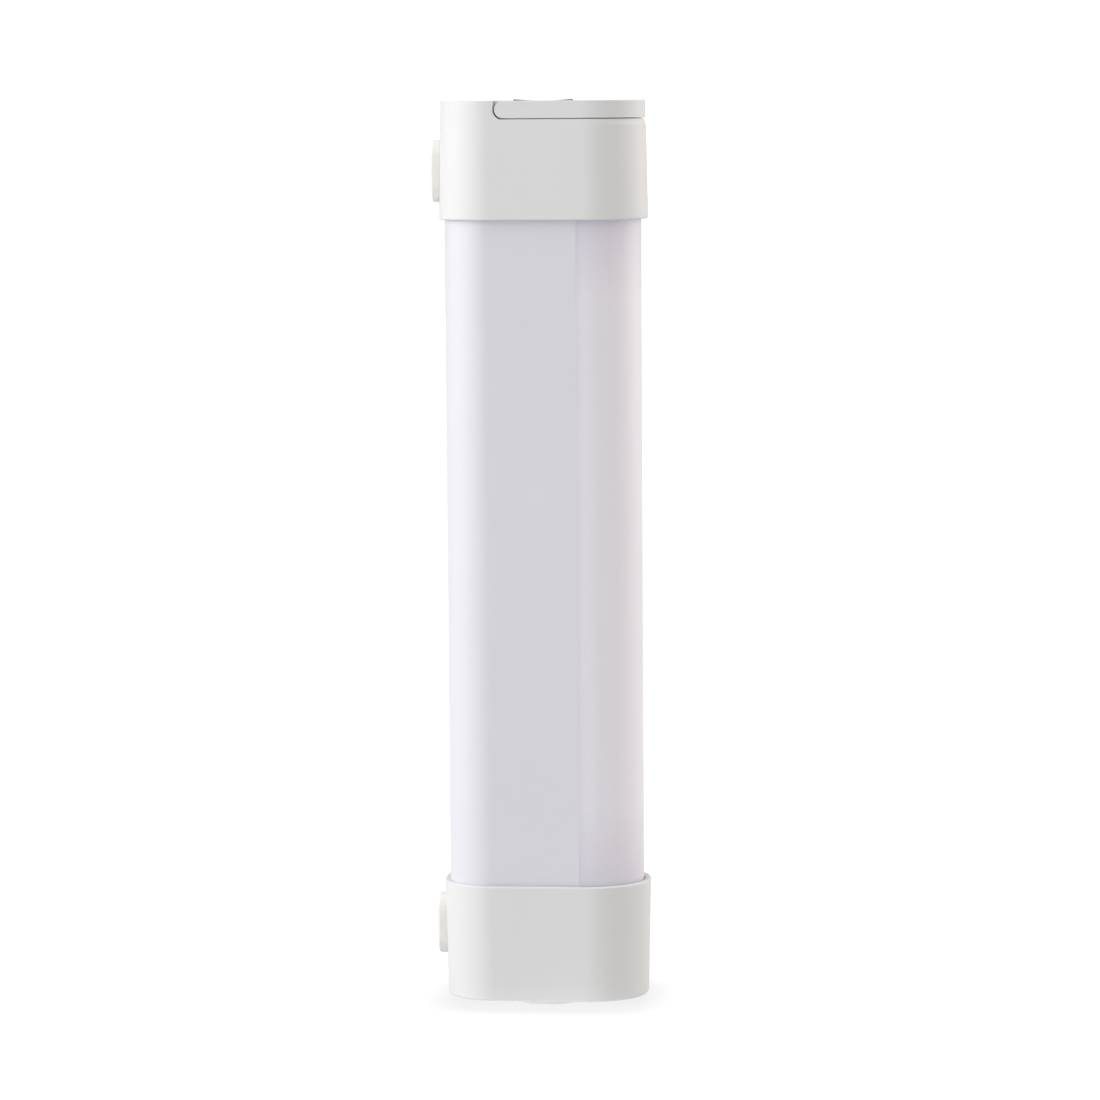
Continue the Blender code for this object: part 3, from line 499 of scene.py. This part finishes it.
def moulded_plastic(name, colour, roughness, grain_scale=4200.0, grain=0.12):
    """Fine spark-eroded plastic: faint colour drift, mottled gloss and a tiny grain."""
    look, tree, shader = node_material(name)
    drift = object_noise(tree, 45.0, 3.0)
    tree.links.new(ramp(tree, drift, darker(colour, 0.985), colour), shader.inputs["Base Color"])
    gloss = object_noise(tree, 260.0, 4.0)
    tree.links.new(map_range(tree, gloss, roughness - 0.04, roughness + 0.04), shader.inputs["Roughness"])
    add_bump(tree, shader, object_noise(tree, grain_scale, 2.0, 0.6), grain, 0.02 * MM)
    return look


def diffuser_plastic(name, shaded_seam_colour, nose_colour, painted_end_shade):
    """Milky diffuser with painted shade: darker along the seam and near the caps, where less light gets
    in.
    """
    look, tree, shader = node_material(name)
    place = tree.nodes.new("ShaderNodeTexCoord")
    split = tree.nodes.new("ShaderNodeSeparateXYZ")
    tree.links.new(place.outputs["Object"], split.inputs["Vector"])
    from_middle = maths(tree, "SUBTRACT", split.outputs["Z"], (TUBE_LOW.z + TUBE_HIGH.z) / 2)
    away = maths(tree, "ABSOLUTE", from_middle, 0.0)
    half = (CAP_LOW.z - BASE_HIGH.z) / 2
    end = map_range(tree, away, 0.0, 1.0, half - DIFFUSER_SHADE, half)
    across = map_range(tree, split.outputs["X"], 0.0, 1.0, NOSE_LOW.x, NOSE_LOW.x + DIFFUSER_SEAM)
    # Painted shade: darker along the seam, fading to the nose's colour
    wall = ramp(tree, across, shaded_seam_colour, nose_colour, 0.0, 1.0)
    # Painted shade: the colour darkens towards each cap, where less light gets in
    end_shading = ramp(tree, end, (1, 1, 1), painted_end_shade, 0.0, 1.0)
    tree.links.new(vector_maths(tree, "MULTIPLY", wall, end_shading), shader.inputs["Base Color"])
    shader.inputs["Subsurface Weight"].default_value = 0.15
    shader.inputs["Subsurface Radius"].default_value = (1.0, 0.95, 1.1)
    shader.inputs["Subsurface Scale"].default_value = 2.5 * MM
    gloss = object_noise(tree, 180.0, 3.0)
    tree.links.new(map_range(tree, gloss, 0.30, 0.38), shader.inputs["Roughness"])
    add_bump(tree, shader, object_noise(tree, 5200.0, 2.0, 0.6), 0.10, 0.02 * MM)
    return look


def soft_rubber(name, colour, roughness, sheen=0.15):
    """Matt rubber or silicone with a faint bloom."""
    look, tree, shader = node_material(name)
    drift = object_noise(tree, 120.0, 4.0)
    tree.links.new(ramp(tree, drift, darker(colour, 0.94), colour), shader.inputs["Base Color"])
    dust = object_noise(tree, 900.0, 5.0)
    tree.links.new(map_range(tree, dust, roughness - 0.08, roughness + 0.08), shader.inputs["Roughness"])
    shader.inputs["Sheen Weight"].default_value = sheen
    add_bump(tree, shader, object_noise(tree, 3000.0, 3.0, 0.6), 0.18, 0.03 * MM)
    return look


def lined_metal(name, colour, roughness, stretch):
    """Metal with fine lines; they run long along the axis whose stretch is small."""
    look, tree, shader = node_material(name)
    lines = object_noise(tree, 900.0, 4.0, 0.5, stretch)
    tree.links.new(ramp(tree, lines, darker(colour, 0.82), colour), shader.inputs["Base Color"])
    tree.links.new(map_range(tree, lines, roughness - 0.08, roughness + 0.1), shader.inputs["Roughness"])
    shader.inputs["Metallic"].default_value = 1.0
    add_bump(tree, shader, lines, 0.15, 0.02 * MM)
    return look


def circuit_board(name, mask, track):
    """Solder mask over slightly raised tracks."""
    look, tree, shader = node_material(name)
    place = tree.nodes.new("ShaderNodeTexCoord")
    tracks = tree.nodes.new("ShaderNodeTexBrick")
    tracks.inputs["Scale"].default_value = 260.0
    tracks.inputs["Mortar Size"].default_value = 0.03
    tracks.inputs["Color1"].default_value = (*mask, 1.0)
    tracks.inputs["Color2"].default_value = (*darker(mask, 0.9), 1.0)
    tracks.inputs["Mortar"].default_value = (*track, 1.0)
    tree.links.new(place.outputs["Object"], tracks.inputs["Vector"])
    tree.links.new(tracks.outputs["Color"], shader.inputs["Base Color"])
    shader.inputs["Roughness"].default_value = 0.35
    shader.inputs["Coat Weight"].default_value = 0.3
    add_bump(tree, shader, tracks.outputs["Fac"], 0.3, 0.05 * MM)
    return look


def shrink_film(name, colour):
    """Glossy heat-shrunk film with fine wrinkles round the cell."""
    look, tree, shader = node_material(name)
    wrinkles = object_noise(tree, 300.0, 4.0, 0.6, (1, 1, 4))
    tree.links.new(ramp(tree, wrinkles, darker(colour, 0.85), colour), shader.inputs["Base Color"])
    tree.links.new(map_range(tree, wrinkles, 0.18, 0.34), shader.inputs["Roughness"])
    shader.inputs["Coat Weight"].default_value = 0.5
    add_bump(tree, shader, wrinkles, 0.25, 0.08 * MM)
    return look


# ---------------------------------------------------------------- caps

def cap_rings(closed_z, inner_floor, towards_mouth, end_edge, wall_levels=()):
    """Rings of a cap's skin: inner floor, inner wall, collar, round rim, drafted outer wall, end edge."""
    def at(from_end, inset):
        return level(cap_outline(from_end, inset), closed_z + towards_mouth * from_end)

    rings = []
    for inset, drop in reversed(fillet(CAP_INNER_EDGE)):
        rings.append(at(inner_floor + drop, CAP_WALL + inset))
    collar_end = CAP_HEIGHT - COLLAR_FROM_RIM
    collar_start = collar_end - COLLAR_HEIGHT
    rings.append(at(collar_start, CAP_WALL))
    rings.append(at(collar_start + COLLAR_SLOPE, COLLAR_INSET))
    rings.append(at(collar_end - COLLAR_SLOPE, COLLAR_INSET))
    rings.append(at(collar_end, CAP_WALL))
    for inset, drop in fillet(CAP_RIM_EDGE):
        rings.append(at(CAP_HEIGHT - drop, CAP_WALL - inset))
    for inset, drop in reversed(fillet(CAP_RIM_EDGE)):
        rings.append(at(CAP_HEIGHT - drop, inset))
    for from_end in wall_levels:
        rings.append(at(from_end, 0.0))
    for inset, drop in fillet(end_edge):
        rings.append(at(drop, inset))
    return rings


def pad_pocket(z):
    """Pocket in a cap's rear wall that takes a pad."""
    shape = stadium(PAD_STRAIGHT, PAD_HALF_WIDTH + GAP)
    return loft([upright(shape, PAD_LOW.x - PAST, z), upright(shape, PAD_HIGH.x + GAP, z)])


def middle_z(node):
    low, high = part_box(node)
    return (low.z + high.z) / 2


def bottom_cap(look):
    """Lower cap, with a hole for the foot and a pocket for its pad."""
    cap = make_object("bottom_cap_shell", loft(cap_rings(BASE_LOW.z, CAP_FLOOR, 1, BASE_EDGE)), look)
    cut(cap, column(circle(FOOT_HIGH.x + GAP), BASE_LOW.z - PAST, FOOT_HIGH.z + GAP))
    cut(cap, pad_pocket(middle_z("lower_pad")))
    round_edges(cap, SMALL_EDGE, every_edge, steps=2, angle=60)
    finish_piece(cap, "housing", "bottom_cap")


def channel_cutter():
    """Channel for the folded bail: round about the hinge at its rear, straight to the nose."""
    reach = BAIL_THICK / 2 + GAP + CHANNEL_REAR_RELIEF
    top = CAP_HIGH.z + 4 * PAST
    low = CHANNEL_Z - 2 * PAST
    rear = [(x, max(z, CHANNEL_Z)) for x, z in hinge_arc(reach, 180, 270)]
    points = [(CLEAR_X, CHANNEL_Z), (CLEAR_X, top), (HINGE.x - reach, top)] + rear
    cutter = make_object("channel", side_prism(points, CLEAR_Y))
    cut(cutter, column(cap_outline(0, BAIL_WIDTH + GAP), CHANNEL_Z - PAST, top + PAST))
    bead = make_object("bead", column(cap_outline(0, BEAD_INSET), CHANNEL_Z - PAST, BEAD_TOP_Z))
    behind = [(-CLEAR_X, low), (BEAD_START_X, low), (BEAD_START_X, top), (-CLEAR_X, top)]
    cut(bead, side_prism(behind, CLEAR_Y))
    cut(cutter, bead)
    return cutter


def lip_levels():
    """Levels of the wall below the channel, closest to the mouth first."""
    lip_from_end = CAP_HIGH.z - CHANNEL_Z
    return [lip_from_end + LIP_HEIGHT * (1 - step / LIP_LEVELS) for step in range(LIP_LEVELS)]


def smooth_step(value):
    share = min(max(value, 0.0), 1.0)
    return share * share * (3 - 2 * share)


def soften_lip(cap):
    """Lean the wall's top edge inwards below the channel, more round the nose than along the sides."""
    for vert in cap.data.vertices:
        place = vert.co
        from_end = CAP_HIGH.z - place.z
        rise = (place.z - CHANNEL_Z + LIP_HEIGHT) / LIP_HEIGHT
        if place.x < HINGE.x or not 0 < rise < 1.01 or wall_inset(place, from_end) > 2 * LIP_EDGE:
            continue
        growth = CAP_DRAFT * from_end / CAP_HEIGHT / 2
        radius = FRONT_RADIUS + growth
        core_x = END_LENGTH / 2 + growth - radius
        core_y = END_DEPTH / 2 + growth - radius
        core = Vector((min(place.x, core_x), min(max(place.y, -core_y), core_y), place.z))
        inwards = (core - place).normalized()
        start = smooth_step((place.x - HINGE.x) / LIP_START)
        nose = smooth_step((place.x - core_x) / FRONT_RADIUS)
        reach = start * (LIP_INSET_SIDE + (LIP_INSET_NOSE - LIP_INSET_SIDE) * nose)
        vert.co = place + reach * smooth_step(rise) * inwards


def top_cap(look):
    """Upper cap, with the bail's channel and openings for the button, the pad and the port."""
    rings = cap_rings(CAP_HIGH.z, CAP_HIGH.z - CEILING_Z, -1, TOP_EDGE, lip_levels())
    cap = make_object("top_cap_shell", loft(rings), look)
    cut(cap, column(cap_outline(0, BAIL_WIDTH + GAP + CAP_WALL), CEILING_Z - PAST, CROWN_TOP_Z))
    cut(cap, channel_cutter())
    cut(cap, column(circle(BUTTON_RADIUS + GAP), CROWN_TOP_Z - PAST, CAP_HIGH.z + PAST))
    cut(cap, pad_pocket(middle_z("upper_pad")))
    cut(cap, flat_oval(PORT_LOW.y + PAST, PORT_HIGH.y + 4 * PAST, GAP))

    def on_wall(edge):
        places = [vert.co for vert in edge.verts]
        return all(abs(wall_inset(place, CAP_HIGH.z - place.z)) < NEAR_WALL and place.x > LIP_REAR_X
                   and place.z > CHANNEL_Z - NEAR_FACE for place in places)

    def elsewhere(edge):
        return all(vert.co.z > CEILING_Z for vert in edge.verts) and not on_wall(edge)

    round_edges(cap, LIP_EDGE, on_wall)
    round_edges(cap, SMALL_EDGE, elsewhere, steps=2, angle=50)
    soften_lip(cap)
    finish_piece(cap, "housing", "top_cap")


def bail(look):
    """U-shaped handle, flush with the cap, with round arm ends about the hinge, bored for its pins."""
    rings = [level(cap_outline(0), CAP_HIGH.z - BAIL_BLANK)]
    for inset, drop in fillet(TOP_EDGE):
        rings.append(level(cap_outline(0, inset), CAP_HIGH.z - drop))
    handle = make_object("bail_handle", loft(rings), look)
    top = CAP_HIGH.z + PAST
    points = [(CLEAR_X, BAIL_LOW.z), (CLEAR_X, top), (HINGE.x, top)]
    cut(handle, side_prism(points + hinge_arc(BAIL_THICK / 2, 90, 270), CLEAR_Y), "INTERSECT")
    cut(handle, column(cap_outline(0, BAIL_WIDTH), CAP_HIGH.z - 1.5 * BAIL_BLANK, top))
    round_edges(handle, BAIL_EDGE, every_edge, steps=4)
    for pin in ("hinge_pin_near", "hinge_pin_far"):
        low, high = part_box(pin)
        radius = (high.x - low.x) / 2 + PIN_PLAY
        ends = (low.y - PIN_PLAY, high.y + PIN_PLAY)
        cut(handle, loft([[(HINGE.x + x, y, HINGE.z + z) for x, z in circle(radius)] for y in ends]))
    handle.data.set_sharp_from_angle(angle=math.radians(BEVELLED_ANGLE))
    finish_piece(handle, "bail", "bail")


# ---------------------------------------------------------------- tube

def shell_section(start_x, front):
    """Outer line out along the section and inner line back, from seam to seam."""
    corner = ARC_STEPS + 1
    half_y = TUBE_DEPTH / 2
    chosen = []
    for line, y in ((tube_outline(), half_y), (tube_outline(TUBE_WALL), half_y - TUBE_WALL)):
        if front:
            nose = [(x + NOSE_GROWTH, y_at) for x, y_at in line[corner:3 * corner]]
            chosen.append([(start_x, -y)] + nose + [(start_x, y)])
        else:
            back = [(x - BACK_GROWTH, y_at) for x, y_at in line[3 * corner:] + line[:corner]]
            chosen.append([(start_x, y)] + back + [(start_x, -y)])
    return chosen[0] + list(reversed(chosen[1]))


def tube_shell(name, node, look, seam_x, front):
    """One half of the tube, eased along the seam."""
    low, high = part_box(node)
    shell = make_object(name, column(shell_section(seam_x, front), low.z, high.z), look)

    def at_seam(edge):
        first, last = (vert.co for vert in edge.verts)
        stands = abs(first.z - last.z) > SEAM_LEAST
        outer = abs(first.y) > TUBE_DEPTH / 2 - NEAR_FACE
        return stands and outer and abs(first.x - seam_x) < NEAR_SEAM

    round_edges(shell, SEAM_EDGE, at_seam, steps=2)
    finish_piece(shell, "housing", node)


# ---------------------------------------------------------------- button, pads and foot

def power_button(look):
    """Dark button whose top is scooped across, with a round edge, a flange and a stem below."""
    flange_top = CROWN_TOP_Z - GAP
    flange_low = flange_top - FLANGE_THICK
    profile = ((STEM_RADIUS, BUTTON_LOW.z), (STEM_RADIUS, flange_low), (FLANGE_RADIUS, flange_low),
               (FLANGE_RADIUS, flange_top), (BUTTON_RADIUS, flange_top), (BUTTON_RADIUS, BUTTON_SIDE_Z))
    rings = [level(circle(radius), height) for radius, height in profile]

    def scooped(radius, drop):
        ring = []
        for x, y in circle(radius):
            lift = SCOOP_RADIUS - math.sqrt(SCOOP_RADIUS ** 2 - x * x)
            ring.append((x, y, BUTTON_HIGH.z - SCOOP_DEPTH + lift - drop))
        return ring

    for inset, drop in fillet(BUTTON_EDGE):
        rings.append(scooped(BUTTON_RADIUS - inset, drop))
    for share in SCOOP_RINGS:
        rings.append(scooped(BUTTON_RADIUS * share, 0.0))
    button = make_object("button_cap", loft(rings), look)
    finish_piece(button, "button", "power_button", even_shading=False)


def pads(look):
    """Soft pads: a round rim, one fine groove that follows it, and a shallow dish."""
    for name, node in (("upper_grip_pad", "upper_pad"), ("lower_grip_pad", "lower_pad")):
        z = middle_z(node)

        def at(inset, x):
            return upright(stadium(PAD_STRAIGHT, PAD_HALF_WIDTH - inset), x, z)

        rings = [at(0.0, PAD_HIGH.x)]
        for inset, drop in fillet(PAD_EDGE):
            rings.append(at(inset, PAD_LOW.x + drop))
        for inset, depth in PAD_FACE:
            rings.append(at(inset * MM, PAD_LOW.x + depth * MM))
        finish_piece(make_object(name, loft(rings), look), "housing", node)


def foot(look):
    """Round foot with three tread rings on its underside."""
    profile = [(FOOT_MIDDLE, 0.0)]
    for ring_radius in TREAD_RADII:
        for out, height in TREAD_STEPS:
            profile.append(((ring_radius + out) * MM, height * MM))
    for inset, drop in reversed(fillet(FOOT_EDGE)):
        profile.append((FOOT_HIGH.x - inset, drop))
    profile.append((FOOT_HIGH.x, FOOT_HIGH.z))
    piece = make_object("round_foot", turned(profile), look)
    finish_piece(piece, "housing", "foot", even_shading=False)


# ---------------------------------------------------------------- charging port

def flat_oval(y_low, y_high, grow=0.0):
    """Flat-oval bar along Y in the charging port's place."""
    radius = (PORT_HIGH.z - PORT_LOW.z) / 2 + grow
    straight = (PORT_HIGH.x - PORT_LOW.x) / 2 + grow - radius
    centre_z = (PORT_HIGH.z + PORT_LOW.z) / 2
    points = stadium(straight, radius)
    return loft([[(along, y, centre_z + up) for up, along in points] for y in (y_low, y_high)])


def charge_port(look):
    """Steel shell of the port, closed at the back."""
    shell = make_object("port_shell", flat_oval(PORT_LOW.y, PORT_HIGH.y), look)
    cut(shell, flat_oval(PORT_LOW.y + PORT_BACK, PORT_HIGH.y + PAST, -PORT_WALL))

    def at_mouth(edge):
        return min(vert.co.y for vert in edge.verts) > PORT_HIGH.y - NEAR_FACE

    round_edges(shell, PORT_MOUTH_EDGE, at_mouth, steps=2)
    finish_piece(shell, "housing", "charge_port")


def rounded_box(low, high, edge, steps=2):
    """Box between two corners, with round edges."""
    bm = bmesh.new()
    size = high - low
    matrix = Matrix.Translation((low + high) / 2) @ Matrix.Diagonal((*size, 1.0))
    bmesh.ops.create_cube(bm, size=1.0, matrix=matrix)
    bmesh.ops.bevel(bm, geom=list(bm.edges), offset=edge, segments=steps, profile=0.5, affect="EDGES")
    return bm


def port_tongue(look, contact_look):
    """Tongue in the port with a row of contacts let into its upper and lower face."""
    body = rounded_box(TONGUE_LOW, TONGUE_HIGH, TONGUE_EDGE)
    tongue = make_object("port_tongue_body", body, look)
    pitch = CONTACT_ROW * (TONGUE_HIGH.x - TONGUE_LOW.x) / CONTACT_COUNT
    contacts = bmesh.new()
    slots = bmesh.new()
    for face_z in (TONGUE_LOW.z, TONGUE_HIGH.z):
        for index in range(CONTACT_COUNT):
            x = (index - (CONTACT_COUNT - 1) / 2) * pitch
            place = Matrix.Translation((x, TONGUE_HIGH.y - CONTACT_FROM_END, face_z))
            for bm, play in ((contacts, CONTACT_PLAY), (slots, 0.0)):
                size = Matrix.Diagonal((CONTACT_WIDTH * pitch - 2 * play, CONTACT_LENGTH - 2 * play,
                                        CONTACT_DEPTH - play, 1))
                bmesh.ops.create_cube(bm, size=1.0, matrix=place @ size)
    cut(tongue, slots)
    finish_piece(tongue, "housing", "port_tongue")
    strip = make_object("port_contacts", contacts, contact_look)
    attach(strip, "housing")
    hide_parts("port_tongue")


# ---------------------------------------------------------------- carried-over parts

def dress_inner_parts(steel):
    """Every CAD node that is still shown gets a finished material."""
    seal = soft_rubber("seal_black", (0.05, 0.05, 0.05), 0.75)
    inner = moulded_plastic("inner_black", (0.13, 0.13, 0.13), 0.6, 3000.0, 0.3)
    alloy = lined_metal("brushed_alloy", (0.82, 0.82, 0.84), 0.34, (1, 1, 0.04))
    nickel = lined_metal("nickel_plate", (0.72, 0.70, 0.66), 0.22, (0.1, 1, 1))
    part_black = moulded_plastic("component_black", (0.04, 0.04, 0.045), 0.5, 6000.0, 0.3)
    looks = {
        "hinge_pin": steel,
        "gasket": seal,
        "bulkhead": inner,
        "battery_cradle": inner,
        "led_carrier": alloy,
        "led_board": circuit_board("led_board_white", (0.84, 0.85, 0.83), (0.74, 0.75, 0.73)),
        "control_board": circuit_board("control_board_green", (0.02, 0.17, 0.08), (0.04, 0.27, 0.13)),
        "cell": shrink_film("cell_film_blue", (0.10, 0.25, 0.47)),
        "strip": nickel,
        "magnet": nickel,
        "inductor": part_black,
        "chip": part_black,
        "capacitor": moulded_plastic("capacitor_tan", (0.36, 0.27, 0.18), 0.4, 6000.0, 0.2),
        "switch": part_black,
        "screw": steel,
        "lead_negative": soft_rubber("lead_sleeve_black", (0.03, 0.03, 0.03), 0.5),
        "lead_positive": soft_rubber("lead_sleeve_red", (0.55, 0.04, 0.04), 0.5),
    }
    for name, node in frame["nodes"].items():
        words = [word for word in looks if word in name]
        if words:
            look = looks[max(words, key=len)]
            for material_slot in node.material_slots:
                material_slot.material = look


# ---------------------------------------------------------------- studio

def soft_lobe(tree, heading, azimuth, half_width):
    """1 in the middle of a soft box, falling smoothly to 0 at its half width."""
    turn = math.radians(azimuth)
    facing = vector_maths(tree, "DOT_PRODUCT", heading, (math.sin(turn), -math.cos(turn), 0))
    share = map_range(tree, facing, 0.0, 1.0, math.cos(math.radians(half_width)), 1.0)
    return maths(tree, "POWER", share, 2.0)


def studio_sky():
    """Light from the painted boxes; the camera itself sees plain white."""
    sky = bpy.data.worlds.new("studio_sky")
    bpy.context.scene.world = sky
    sky.use_nodes = True
    tree = sky.node_tree
    place = tree.nodes.new("ShaderNodeTexCoord").outputs["Generated"]
    heading = vector_maths(tree, "NORMALIZE", vector_maths(tree, "MULTIPLY", place, (1, 1, 0)))
    split = tree.nodes.new("ShaderNodeSeparateXYZ")
    tree.links.new(place, split.inputs["Vector"])
    walls = map_range(tree, split.outputs["Z"], 1.0, 0.0, CEILING_START, CEILING_END)
    ceiling = maths(tree, "SUBTRACT", 1.0, walls)

    lit = maths(tree, "SUBTRACT", 1.0, soft_lobe(tree, heading, *DARK_CORNER))
    room = maths(tree, "MULTIPLY", lit, walls)
    parts = [((1, 1, 1), maths(tree, "MULTIPLY", ceiling, CEILING_STRENGTH)),
             ((1, 1, 1), maths(tree, "MULTIPLY", room, ROOM_STRENGTH))]
    for _, azimuth, half_width, strength, colour in SOFT_BOXES:
        box = maths(tree, "MULTIPLY", soft_lobe(tree, heading, azimuth, half_width), walls)
        parts.append((colour, maths(tree, "MULTIPLY", box, strength)))
    light = None
    for colour, strength in parts:
        glow = tree.nodes.new("ShaderNodeBackground")
        glow.inputs["Color"].default_value = (*colour, 1)
        tree.links.new(strength, glow.inputs["Strength"])
        if light is None:
            light = glow.outputs[0]
            continue
        both = tree.nodes.new("ShaderNodeAddShader")
        tree.links.new(light, both.inputs[0])
        tree.links.new(glow.outputs[0], both.inputs[1])
        light = both.outputs[0]

    seen = tree.nodes["Background"]
    seen.inputs["Color"].default_value = (1, 1, 1, 1)
    seen.inputs["Strength"].default_value = SKY_SEEN
    path = tree.nodes.new("ShaderNodeLightPath")
    mix = tree.nodes.new("ShaderNodeMixShader")
    tree.links.new(path.outputs["Is Camera Ray"], mix.inputs["Fac"])
    tree.links.new(light, mix.inputs[1])
    tree.links.new(seen.outputs["Background"], mix.inputs[2])
    tree.links.new(mix.outputs["Shader"], tree.nodes["World Output"].inputs["Surface"])


def floor_material():
    """White sweep: pale, with a faint contact shadow painted in its glow to the eye; it also glows under
    the base, painting bounce light.
    """
    look, tree, shader = node_material("studio_floor")
    seen = tree.nodes.new("ShaderNodeLightPath").outputs["Is Camera Ray"]
    albedo = map_range(tree, seen, FLOOR_ALBEDO, FLOOR_SEEN_ALBEDO)
    tree.links.new(albedo, shader.inputs["Base Color"])
    shader.inputs["Roughness"].default_value = FLOOR_ROUGHNESS
    shader.inputs["Specular IOR Level"].default_value = 0.0
    shader.inputs["Emission Color"].default_value = (1, 1, 1, 1)
    place = tree.nodes.new("ShaderNodeTexCoord").outputs["Object"]
    share = vector_maths(tree, "MULTIPLY", place, (1 / SHADOW_HALF_LENGTH, 1 / SHADOW_HALF_WIDTH, 0))
    reach = vector_maths(tree, "LENGTH", vector_maths(tree, "MULTIPLY", share, share))
    # Painted contact shadow: the glow that the camera sees is lower near the base
    glow = map_range(tree, reach, FLOOR_NEAR_GLOW, FLOOR_FAR_GLOW, SHADOW_START, SHADOW_END)
    # Painted bounce light: the floor glows under the base for every ray but the camera's
    lift = map_range(tree, reach, FLOOR_BOUNCE_GLOW, 0.0, BOUNCE_START, BOUNCE_END)
    seen_glow = maths(tree, "MULTIPLY", glow, seen)
    unseen_lift = maths(tree, "MULTIPLY", lift, maths(tree, "SUBTRACT", 1.0, seen))
    tree.links.new(maths(tree, "ADD", seen_glow, unseen_lift), shader.inputs["Emission Strength"])
    return look


def studio_floor():
    bm = bmesh.new()
    bmesh.ops.create_circle(bm, cap_ends=True, segments=96, radius=FLOOR_RADIUS)
    mesh = bpy.data.meshes.new("studio_floor")
    bm.to_mesh(mesh)
    bm.free()
    floor = bpy.data.objects.new("studio_floor", mesh)
    bpy.context.scene.collection.objects.link(floor)
    mesh.materials.append(floor_material())


def studio():
    bpy.context.scene.view_settings.view_transform = "Standard"
    bpy.context.scene.view_settings.look = "None"
    studio_sky()
    studio_floor()


def camera():
    """Eye-level view of the light's -Y side from over a metre away, turned slightly to its front."""
    data = bpy.data.cameras.new("camera")
    data.sensor_width = CAMERA_SENSOR
    data.lens = CAMERA_LENS
    eye = bpy.data.objects.new("camera", data)
    bpy.context.scene.collection.objects.link(eye)
    heading = Matrix.Rotation(math.radians(CAMERA_HEADING), 4, "Z")
    tilt = Matrix.Rotation(math.radians(90 - CAMERA_PITCH), 4, "X")
    roll = Matrix.Rotation(math.radians(CAMERA_ROLL), 4, "Z")
    eye.matrix_world = Matrix.Translation(CAMERA_PLACE) @ heading @ tilt @ roll
    bpy.context.scene.camera = eye


def build():
    white = moulded_plastic("cap_white", CAP_WHITE, 0.42)
    rear = moulded_plastic("rear_white", REAR_WHITE, 0.34, grain_scale=5200.0, grain=0.08)
    milky = diffuser_plastic("diffuser_milky", DIFFUSER_SEAM_SHADED_COLOUR, DIFFUSER_NOSE_COLOUR,
                             DIFFUSER_END_PAINTED_SHADE)
    pad_grey = soft_rubber("pad_warm_grey", PAD_WARM_GREY, 0.6)
    foot_white = soft_rubber("foot_off_white", FOOT_OFF_WHITE, 0.65)
    dark = moulded_plastic("button_dark", BUTTON_DARK, 0.5, grain_scale=3000.0, grain=0.25)
    steel = lined_metal("plated_steel", STEEL_GREY, 0.3, (1, 1, 0.05))
    gold = lined_metal("contact_gold", CONTACT_GOLD, 0.25, (1, 0.1, 1))
    top_cap(white)
    bottom_cap(white)
    bail(white)
    tube_shell("rear_shell", "rear_housing", rear, TUBE_HIGH.x + SEAM_CLOSING, front=False)
    tube_shell("nose_shell", "diffuser", milky, NOSE_LOW.x - SEAM_CLOSING, front=True)
    power_button(dark)
    pads(pad_grey)
    foot(foot_white)
    charge_port(steel)
    port_tongue(dark, gold)
    dress_inner_parts(steel)


build()
camera()
studio()
